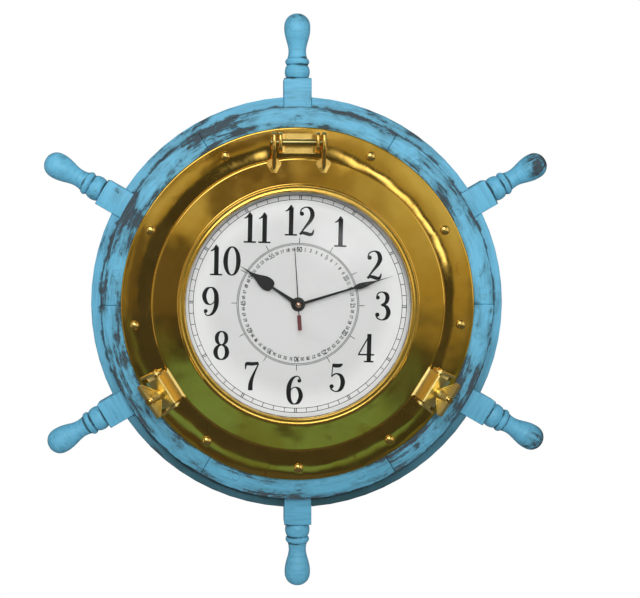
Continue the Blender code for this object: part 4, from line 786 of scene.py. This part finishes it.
def inked(print_shape, stroke, place, steps):
    """Prints one pen stroke, a row of x, y and half thickness; a stroke of one place is a dot."""
    new_face, new_corner = print_shape.faces.new, print_shape.verts.new
    if len(stroke) == 1:
        x, y, radius = stroke[0]
        rim = [(place @ Vector((px, py, 0))).to_2d() for px, py in arc((x, y), radius, 0, 360 - 360 / 16, 15)]
        low, high = ([new_corner((*spot, height)) for spot in rim] for height in (ink_back, ink_front))
        new_face(high)
        new_face(list(reversed(low)))
        for k in range(16):
            new_face((low[k - 1], low[k], high[k], high[k - 1]))
        return
    line = flowing(stroke, steps) if len(stroke) > 2 and steps > 1 else list(stroke)
    closed = stroke[0] == stroke[-1]
    if closed:
        line = line[:-1]
    rows = []
    for k, (x, y, half) in enumerate(line):
        before = line[k - 1] if k or closed else line[k]
        after = line[(k + 1) % len(line)] if k + 1 < len(line) or closed else line[k]
        along = Vector((after[0] - before[0], after[1] - before[1])).normalized()
        side = Vector((-along.y, along.x)) * half
        left, right = (place @ Vector((x + hand * side.x, y + hand * side.y, 0)) for hand in (1, -1))
        corners = ((left, ink_back), (right, ink_back), (right, ink_front), (left, ink_front))
        rows.append([new_corner((end.x, end.y, height)) for end, height in corners])
    pairs = list(zip(rows, rows[1:])) + ([(rows[-1], rows[0])] if closed else [])
    for start, end in pairs:
        for k in range(4):
            new_face((start[k - 1], start[k], end[k], end[k - 1]))
    if not closed:
        new_face(rows[0])
        new_face(list(reversed(rows[-1])))


def loop(x, y, half_width, half_height, side, top):
    """A closed round stroke, thick at its sides and thin at its top and foot."""
    stroke = []
    for step in range(12):
        across, up = math.cos(math.tau * step / 12), math.sin(math.tau * step / 12)
        stroke.append((x + half_width * across, y + half_height * up, top + (side - top) * abs(across) ** 1.6))
    return [*stroke, stroke[0]]


# The strokes of the numerals, in thousandths of their height.
six = (
    ((440, 830, 58),),
    ((480, 870, 14), (430, 955, 16), (340, 984, 17), (200, 900, 38), (98, 690, 62), (75, 430, 70),
     (105, 190, 60), (190, 50, 34), (290, 16, 16), (420, 85, 50), (500, 300, 64), (435, 520, 46),
     (310, 600, 18), (200, 560, 14), (110, 430, 12)),
)
digits = {
    "0": (loop(290, 500, 222, 482, 68, 18),),
    "1": (
        ((255, 20, 66), (255, 500, 66), (255, 935, 66), (282, 1000, 40)),
        ((50, 835, 14), (130, 868, 22), (225, 965, 30)),
        ((45, 22, 22), (465, 22, 22)),
    ),
    "2": (
        ((118, 755, 64),),
        ((60, 790, 14), (115, 915, 20), (270, 984, 17), (420, 915, 46), (482, 735, 66), (420, 540, 54),
         (250, 310, 30), (60, 45, 16)),
        ((60, 45, 30), (150, 100, 40), (280, 80, 52), (400, 50, 52), (490, 75, 36), (540, 220, 12)),
    ),
    "3": (
        ((112, 790, 60),),
        ((66, 840, 14), (130, 945, 18), (260, 984, 17), (400, 915, 46), (445, 770, 62), (385, 610, 44),
         (230, 535, 16)),
        ((230, 535, 16), (410, 475, 46), (490, 285, 68), (425, 95, 50), (270, 16, 17), (120, 70, 20),
         (58, 170, 14)),
        ((108, 195, 64),),
    ),
    "4": (
        ((392, 20, 64), (392, 500, 64), (392, 985, 64)),
        ((425, 985, 16), (230, 640, 18), (30, 262, 18)),
        ((12, 262, 22), (575, 262, 22)),
        ((225, 22, 22), (560, 22, 22)),
    ),
    "5": (
        ((115, 930, 56), (250, 915, 58), (380, 930, 52), (470, 985, 12)),
        ((128, 960, 14), (112, 740, 14), (96, 520, 14)),
        ((96, 520, 12), (170, 605, 20), (280, 636, 22), (420, 560, 52), (488, 345, 68), (425, 110, 52),
         (270, 16, 17), (120, 70, 20), (56, 165, 14)),
        ((104, 192, 64),),
    ),
    "6": six,
    "7": (
        ((70, 730, 12), (85, 860, 26), (125, 930, 52), (300, 925, 54), (520, 955, 40)),
        ((530, 945, 16), (410, 680, 26), (300, 400, 50), (258, 180, 66), (255, 5, 68)),
    ),
    "8": (loop(290, 752, 168, 230, 56, 18), loop(290, 268, 200, 250, 66, 18)),
    "9": tuple(tuple((580 - x, 1000 - y, half) for x, y, half in stroke) for stroke in six),
}
narrow_width, usual_width = 0.5, 0.58
thick_stroke, thick_boldness = 50, 1.18


def numeral(print_shape, number, place, steps, boldness=1.3):
    """Prints a whole number, centred on its place, one unit high."""
    widths = [narrow_width if digit == "1" else usual_width for digit in number]
    start = -sum(widths) / 2
    for digit, width in zip(number, widths):
        for stroke in digits[digit]:
            bold = []
            for x, y, half in stroke:
                half *= boldness if half < thick_stroke else thick_boldness
                bold.append((x / 1000, y / 1000, half / 1000))
            inked(print_shape, bold, place @ Matrix.Translation((start, -0.5, 0)), steps)
        start += width


def dial_place(clock_degrees, x, y):
    """A place on the dial at a clock angle, from across and out."""
    return Matrix.Rotation(math.radians(-clock_degrees), 4, "Z") @ Matrix.Translation((x, y, 0))


def mark(print_shape, clock_degrees, inner, outer, half, aside=0.0):
    """Prints a short line along a radius of the dial."""
    inked(print_shape, [(0, inner, half), (0, outer, half)], dial_place(clock_degrees, aside, 0), 1)


def circle(print_shape, radius, half):
    """Prints a circle round the dial."""
    low, high = radius - half, radius + half
    ring = turned([(high, ink_back), (high, ink_front), (low, ink_front), (low, ink_back)], 180, hollow=True)
    scratch = bpy.data.meshes.new("ring")
    ring.to_mesh(scratch)
    ring.free()
    print_shape.from_mesh(scratch)
    bpy.data.meshes.remove(scratch)


dial_turn = 1.4
numeral_height = 0.0304
numeral_places = (
    ("12", 0.0015, 0.0872), ("1", 0.0445, 0.0756), ("2", 0.0801, 0.041), ("3", 0.0892, -0.002),
    ("4", 0.0718, -0.0461), ("5", 0.0413, -0.0775), ("6", -0.0034, -0.0905), ("7", -0.0489, -0.0754),
    ("8", -0.0804, -0.0429), ("9", -0.0919, 0.0033), ("10", -0.0766, 0.0458), ("11", -0.0426, 0.0798),
)
black_print = bmesh.new()
tilt = Matrix.Rotation(math.radians(-dial_turn), 4, "Z")
for number, x, y in numeral_places:
    numeral(black_print, number, Matrix.Translation((x, y, 0)) @ tilt @ Matrix.Scale(numeral_height, 4), 6)
track_inside, track_outside, track_half, hour_half, hour_aside = 0.1097, 0.1144, 0.00032, 0.00042, 0.0009
circle(black_print, track_inside, track_half)
circle(black_print, track_outside, track_half)
for minute in range(60):
    angle = minute * 6 + dial_turn
    if minute % 5:
        mark(black_print, angle, track_inside, track_outside, track_half)
    else:
        for aside in (-hour_aside, hour_aside):
            mark(black_print, angle, track_inside, track_outside, hour_half, aside)
small_height, smallest_height, small_circle, small_boldness = 0.0049, 0.0033, 0.0577, 3.6
ring_low, ring_high, ring_half, tick_half = 0.0625, 0.0641, 0.0003, 0.00026
long_mark_end, long_mark_half = 0.07, 0.00034
for number in range(1, 61):
    fifth = number % 5 == 0
    angle = number * 6 + dial_turn
    place = dial_place(angle, 0, small_circle) @ Matrix.Scale(small_height if fifth else smallest_height, 4)
    numeral(black_print, str(number), place, 2, small_boldness)
    if fifth:
        mark(black_print, angle, ring_high, long_mark_end, long_mark_half)
clock_piece("black_print", black_print, rim_place(), black_ink, "wheel", "dial_card")

grey_print = bmesh.new()
circle(grey_print, ring_low, ring_half)
circle(grey_print, ring_high, ring_half)
for tick in range(180):
    mark(grey_print, tick * 2 + dial_turn, ring_low, ring_high, tick_half)
clock_piece("grey_print", grey_print, rim_place(), grey_ink, "wheel", "dial_card")

# Movement.
# A quartz movement in a black plastic case hangs behind the dial from its threaded brass bush, with a
# rubber washer and a nut on the front. One cell lies in its bay, and a fluted knob sets the hands.
moulded = ((0.018, 0.018, 0.019), (0.032, 0.032, 0.034))
plastic = mottled("moulded_black_plastic", (1500, 2), moulded, (0.38, 0.55), raised=0.00003)
dressed("movement_case", plastic, 0.0003)
dressed("set_knob", plastic, 0.0002)
dressed("shaft_bush", cast_brass)
dressed("shaft_nut", cast_brass, 0.0002)
dressed("shaft_washer", rubber, 0.0001)
wrap, shader, spot = clock_finish("cell_wrap")
along = between(stretched(spot, 1, 0, 0), 0.0105, 0.0107)
sheen = between(cloud(spot, 90, 2), 0.3, 0.7, 0.22, 0.34)
feed(shader, {"Base Color": blended(along, (0.012, 0.012, 0.014), (0.45, 0.22, 0.07)), "Roughness": sheen})
dressed("battery", wrap, 0.0003)

# Hands.
# Three pressed hands, enamelled black, ride one inside the other through the bush. The hour hand is a
# drop and the minute hand a leaf; the second hand has a red bar for a tail and a copper cap.
black, red = ((0.008, 0.008, 0.008), (0.018, 0.018, 0.018)), ((0.085, 0.007, 0.009), (0.13, 0.012, 0.014))
enamel = mottled("black_enamel", (300, 2), black, (0.28, 0.42), specular=0.15)
red_enamel = mottled("red_enamel", (300, 2), red, (0.28, 0.42))
copper = mottled("copper_cap", (500, 2), ((0.36, 0.22, 0.15), (0.5, 0.32, 0.23)), (0.22, 0.36), metallic=1.0)
hand_thickness, boss_thickness, boss_round, pipe_end, hand_edge = 0.0006, 0.0009, 0.0003, 0.0386, 0.00012


def pressed_hand(runs, half_width, length, back, boss_radius, pipe_radius, bore):
    """A flat hand with its boss and pipe; every run is a smooth stretch of shares of half width and length."""
    right = [point for run in runs for point in flowing(run, 5)]
    right = [(half_width * max(wide, 0), length * along) for wide, along in right]
    left = [(-x, y) for x, y in reversed(right) if x > hair]
    blade = sawn(right + left, back, back + hand_thickness)
    top, boss_back = back + boss_thickness, back - 0.00015
    hub = [(0, top), (boss_radius - boss_round, top), (boss_radius, top - boss_round), (boss_radius, boss_back)]
    hub += [(pipe_radius, boss_back), (pipe_radius, pipe_end), (0, pipe_end)]
    blade = worked(blade, turned(hub, 40), "UNION")
    return worked(blade, turned(rod(bore, pipe_end - overrun, top + overrun), 24))


def hand_piece(name, solid, angle, finish, body, **looks):
    """A piece of a hand, set to its clock angle."""
    clock_piece(name, solid, rim_place(angle), finish, body, "black_metal", **looks)


hour_runs = (
    ((0.4, 0.03), (0.26, 0.2), (0.17, 0.425)),
    ((0.3, 0.428), (0.56, 0.434), (0.78, 0.449), (0.94, 0.48), (1.0, 0.52), (0.95, 0.568),
     (0.78, 0.618), (0.54, 0.672), (0.31, 0.732), (0.15, 0.8), (0.06, 0.9), (0.0, 1.0)),
)
hour = pressed_hand(hour_runs, 0.0071, 0.0753, 0.0462, 0.0061, 0.0026, 0.002)
hand_piece("drop_hand", hour, 304, enamel, "hour_hand", stands_for="hour_hand", edge=hand_edge)
minute_runs = (
    ((0.5, 0.03), (0.4, 0.3), (0.33, 0.57)),
    ((0.42, 0.58), (0.78, 0.608), (0.98, 0.645), (0.76, 0.71), (0.28, 0.8), (0.07, 0.92), (0.0, 1.0)),
)
minute = pressed_hand(minute_runs, 0.00315, 0.1056, 0.0478, 0.0056, 0.0017, 0.001)
hand_piece("leaf_hand", minute, 73.3, enamel, "minute_hand", stands_for="minute_hand", edge=hand_edge)

second_angle = 356.4
needle_back, needle_top, arbor_top = 0.0494, 0.05, 0.0502
arbor_radius, disc_radius = 0.0007, 0.003
needle_side = [(0.00055, -0.011), (0.00055, 0.0), (0.0003, 0.0606)]
arbor = [(0, arbor_top), (disc_radius, arbor_top), (disc_radius, needle_back), (arbor_radius, needle_back)]
arbor += [(arbor_radius, pipe_end), (0, pipe_end)]
needle = worked(sawn(mirrored(needle_side), needle_back, needle_top), turned(arbor, 32), "UNION")
hand_piece("needle_hand", needle, second_angle, enamel, "second_hand", stands_for="second_hand")
tail_side = [(0.0016, -0.0269), (0.0021, -0.0264), (0.0021, -0.0114), (0.0016, -0.0109)]
tail = sawn(mirrored(tail_side), needle_back, needle_top)
hand_piece("red_tail", tail, second_angle, red_enamel, "second_hand", edge=hand_edge)
cap_radius, cap_height = 0.0029, 0.0014
cap = turned([(0, arbor_top), *dome(cap_radius, cap_height, arbor_top)], 36)
hand_piece("second_cap", cap, 0, copper, "second_hand")

# Studio.
# A plain pale floor far below the clock, soft lamps to the upper left, the right and high in front, and
# a camera a little above its middle. A curved card, which only polished things show, lights the brass.
scene.view_settings.view_transform = "Standard"
camera = bpy.data.objects.new("camera", bpy.data.cameras.new("camera"))
scene.collection.objects.link(camera)
scene.camera = camera
azimuth, elevation = math.radians(-2.5), math.radians(4)
away = Vector((math.sin(azimuth) * math.cos(elevation), -math.cos(azimuth) * math.cos(elevation), math.sin(elevation)))
aim = axle + Vector((0, -0.025, 0))
camera.location = aim + away * 1.5
camera.rotation_euler = (-away).to_track_quat("-Z", "Y").to_euler()
camera.data.lens = 79.5
camera.data.sensor_width = 36
camera.data.shift_x = 22.7 / 640
camera.data.shift_y = 4.2 / 640


def air_light(path, shaded):
    """How bright the air around is, weaker where a polished thing shows it, and what only the first ray sees."""
    first = reckoned("LESS_THAN", plus(path["Diffuse Depth"], path["Glossy Depth"]), 0.5)
    return between(path["Is Glossy Ray"], 0, 1, 0.34, shaded), first


world = bpy.data.worlds.new("studio_air")
scene.world = world
world.use_nodes = True
path = light_path(world)
around, first = air_light(path, 0.12)
seen = times(reckoned("MAXIMUM", path["Is Camera Ray"], path["Is Transmission Ray"]), first)
strength = plus(around, times(seen, 0.66))
feed(world.node_tree.nodes["Background"], {"Color": (1, 1, 1), "Strength": strength})

for name, place, size, watts in (
    ("key_lamp", (-0.45, -1.5, 0.95), 1.1, 9),
    ("fill_lamp", (1.6, -1.9, 0.5), 1.4, 4),
    ("front_lamp", (0.1, -3.8, 1.1), 0.8, 54),
):
    lamp = bpy.data.objects.new(name, bpy.data.lights.new(name, "AREA"))
    lamp.data.size = size
    lamp.data.energy = watts
    lamp.location = axle + Vector(place)
    lamp.rotation_euler = (axle - lamp.location).to_track_quat("-Z", "Y").to_euler()
    scene.collection.objects.link(lamp)


def stage_piece(name, solid, finish):
    """A piece of the studio."""
    piece = finished(name, solid, finish)
    return piece


pale, shader, spot = clock_finish("pale_floor")
feed(shader, {"Base Color": (0.85, 0.85, 0.85), "Roughness": 0.9})
path = light_path(pale)
around, first = air_light(path, 0.1)
glow = fresh("Emission", {"Strength": plus(around, times(first, 0.66))})
far = between(fresh("VectorMath", {0: stretched(spot, 1, 1, 0)}, "Value", operation="LENGTH"), 0.4, 1.5)
share = reckoned("MAXIMUM", far, path["Is Glossy Ray"])
shown(pale, fresh("MixShader", {0: share, 1: shader.outputs[0], 2: glow}))
ground = bmesh.new()
bmesh.ops.create_circle(ground, cap_ends=True, radius=6, segments=96)
bmesh.ops.translate(ground, vec=(0, 0, -1.15), verts=ground.verts)
stage_piece("floor", ground, pale)

card_finish, shader, spot = clock_finish("mirror_card")
sideways, forward, height = fresh("SeparateXYZ", {0: spot}).node.outputs
level = plus(height, between(cloud(spot, 1.5, 2, 0.5), 0.3, 0.7, -0.09, 0.09))
colour = blended(between(level, -0.1, 0.4), (0.42, 0.37, 0.19), (0.34, 0.29, 0.15))
colour = blended(between(level, -0.08, -0.44), colour, (0.09, 0.09, 0.07))
colour = blended(between(level, -0.42, -0.58), colour, (0.05, 0.056, 0.055))


def ring_on_card(inner, outer):
    """A round patch about the spot on the card that the middle of the wheel shows."""
    return within(spot, 0.13, -0.21, inner, outer)


outermost = between(ring_on_card(0.8, 0.88), 1.0, 0.0)
colour = blended(times(outermost, between(level, -0.38, -0.52)), colour, (0.15, 0.18, 0.085))
blotches = between(cloud(spot, 2.4, 2, 0.5, 0.8), 0.49, 0.6)
colour = blended(times(blotches, between(sideways, 0.4, -0.2, 0.0, 0.85)), colour, (0.085, 0.065, 0.05))
colour = blended(within(spot, 0.75, 0.35, 0.05, 0.52), colour, (0.62, 0.62, 0.46))
green_share = times(between(ring_on_card(0.43, 0.5), 1.0, 0.0), ring_on_card(0.57, 0.7))
green_share = times(green_share, between(level, -0.26, -0.4), between(sideways, 0.62, 0.4))
grassy = blended(between(cloud(spot, 3.5, 3, 0.6, 0.8), 0.42, 0.62), (0.18, 0.36, 0.27), (0.165, 0.26, 0.15))
colour = blended(green_share, colour, grassy)
for x, z, inner, outer, tone in (
    (-0.33, -0.33, 0.06, 0.2, (0.055, 0.055, 0.06)),
    (-0.34, 0.22, 0.03, 0.24, (0.54, 0.52, 0.38)),
    (-0.01, 0.4, 0.09, 0.22, (0.15, 0.12, 0.08)),
    (-0.46, -0.08, 0.05, 0.19, (0.14, 0.12, 0.09)),
    (0.13, -0.21, 0.34, 0.42, (0.06, 0.06, 0.06)),
):
    colour = blended(within(spot, x, z, inner, outer), colour, tone)
window_light = times(within(spot, 0.28, 0.02, 0.05, 0.19), ring_on_card(0.25, 0.31))
colour = blended(window_light, colour, (1, 1, 1))
card_radius = 3.0
far_round = reckoned("DIVIDE", reckoned("ABSOLUTE", sideways), card_radius)
strip = times(between(far_round, 0.78, 0.81), between(far_round, 0.97, 0.94), between(forward, 0.0, -0.2))
colour = blended(between(forward, -2.2, -1.7), colour, (0.085, 0.075, 0.06))
strength = plus(between(strip, 0, 1, 1.0, 9.0), times(window_light, 1.9))
shown(card_finish, fresh("Emission", {"Color": colour, "Strength": strength}))
curve = bmesh.new()
columns = []
for step in range(61):
    angle = math.radians(-150 + 5 * step)
    across, along = card_radius * math.sin(angle), -card_radius * math.cos(angle)
    columns.append([curve.verts.new((across, along, axle.z + z)) for z in (-0.96, 3.4)])
for left, right in zip(columns, columns[1:]):
    curve.faces.new((left[0], right[0], right[1], left[1]))
mirror_card = stage_piece("mirror_card", curve, card_finish)
for kind in ("camera", "diffuse", "shadow", "transmission"):
    setattr(mirror_card, f"visible_{kind}", False)
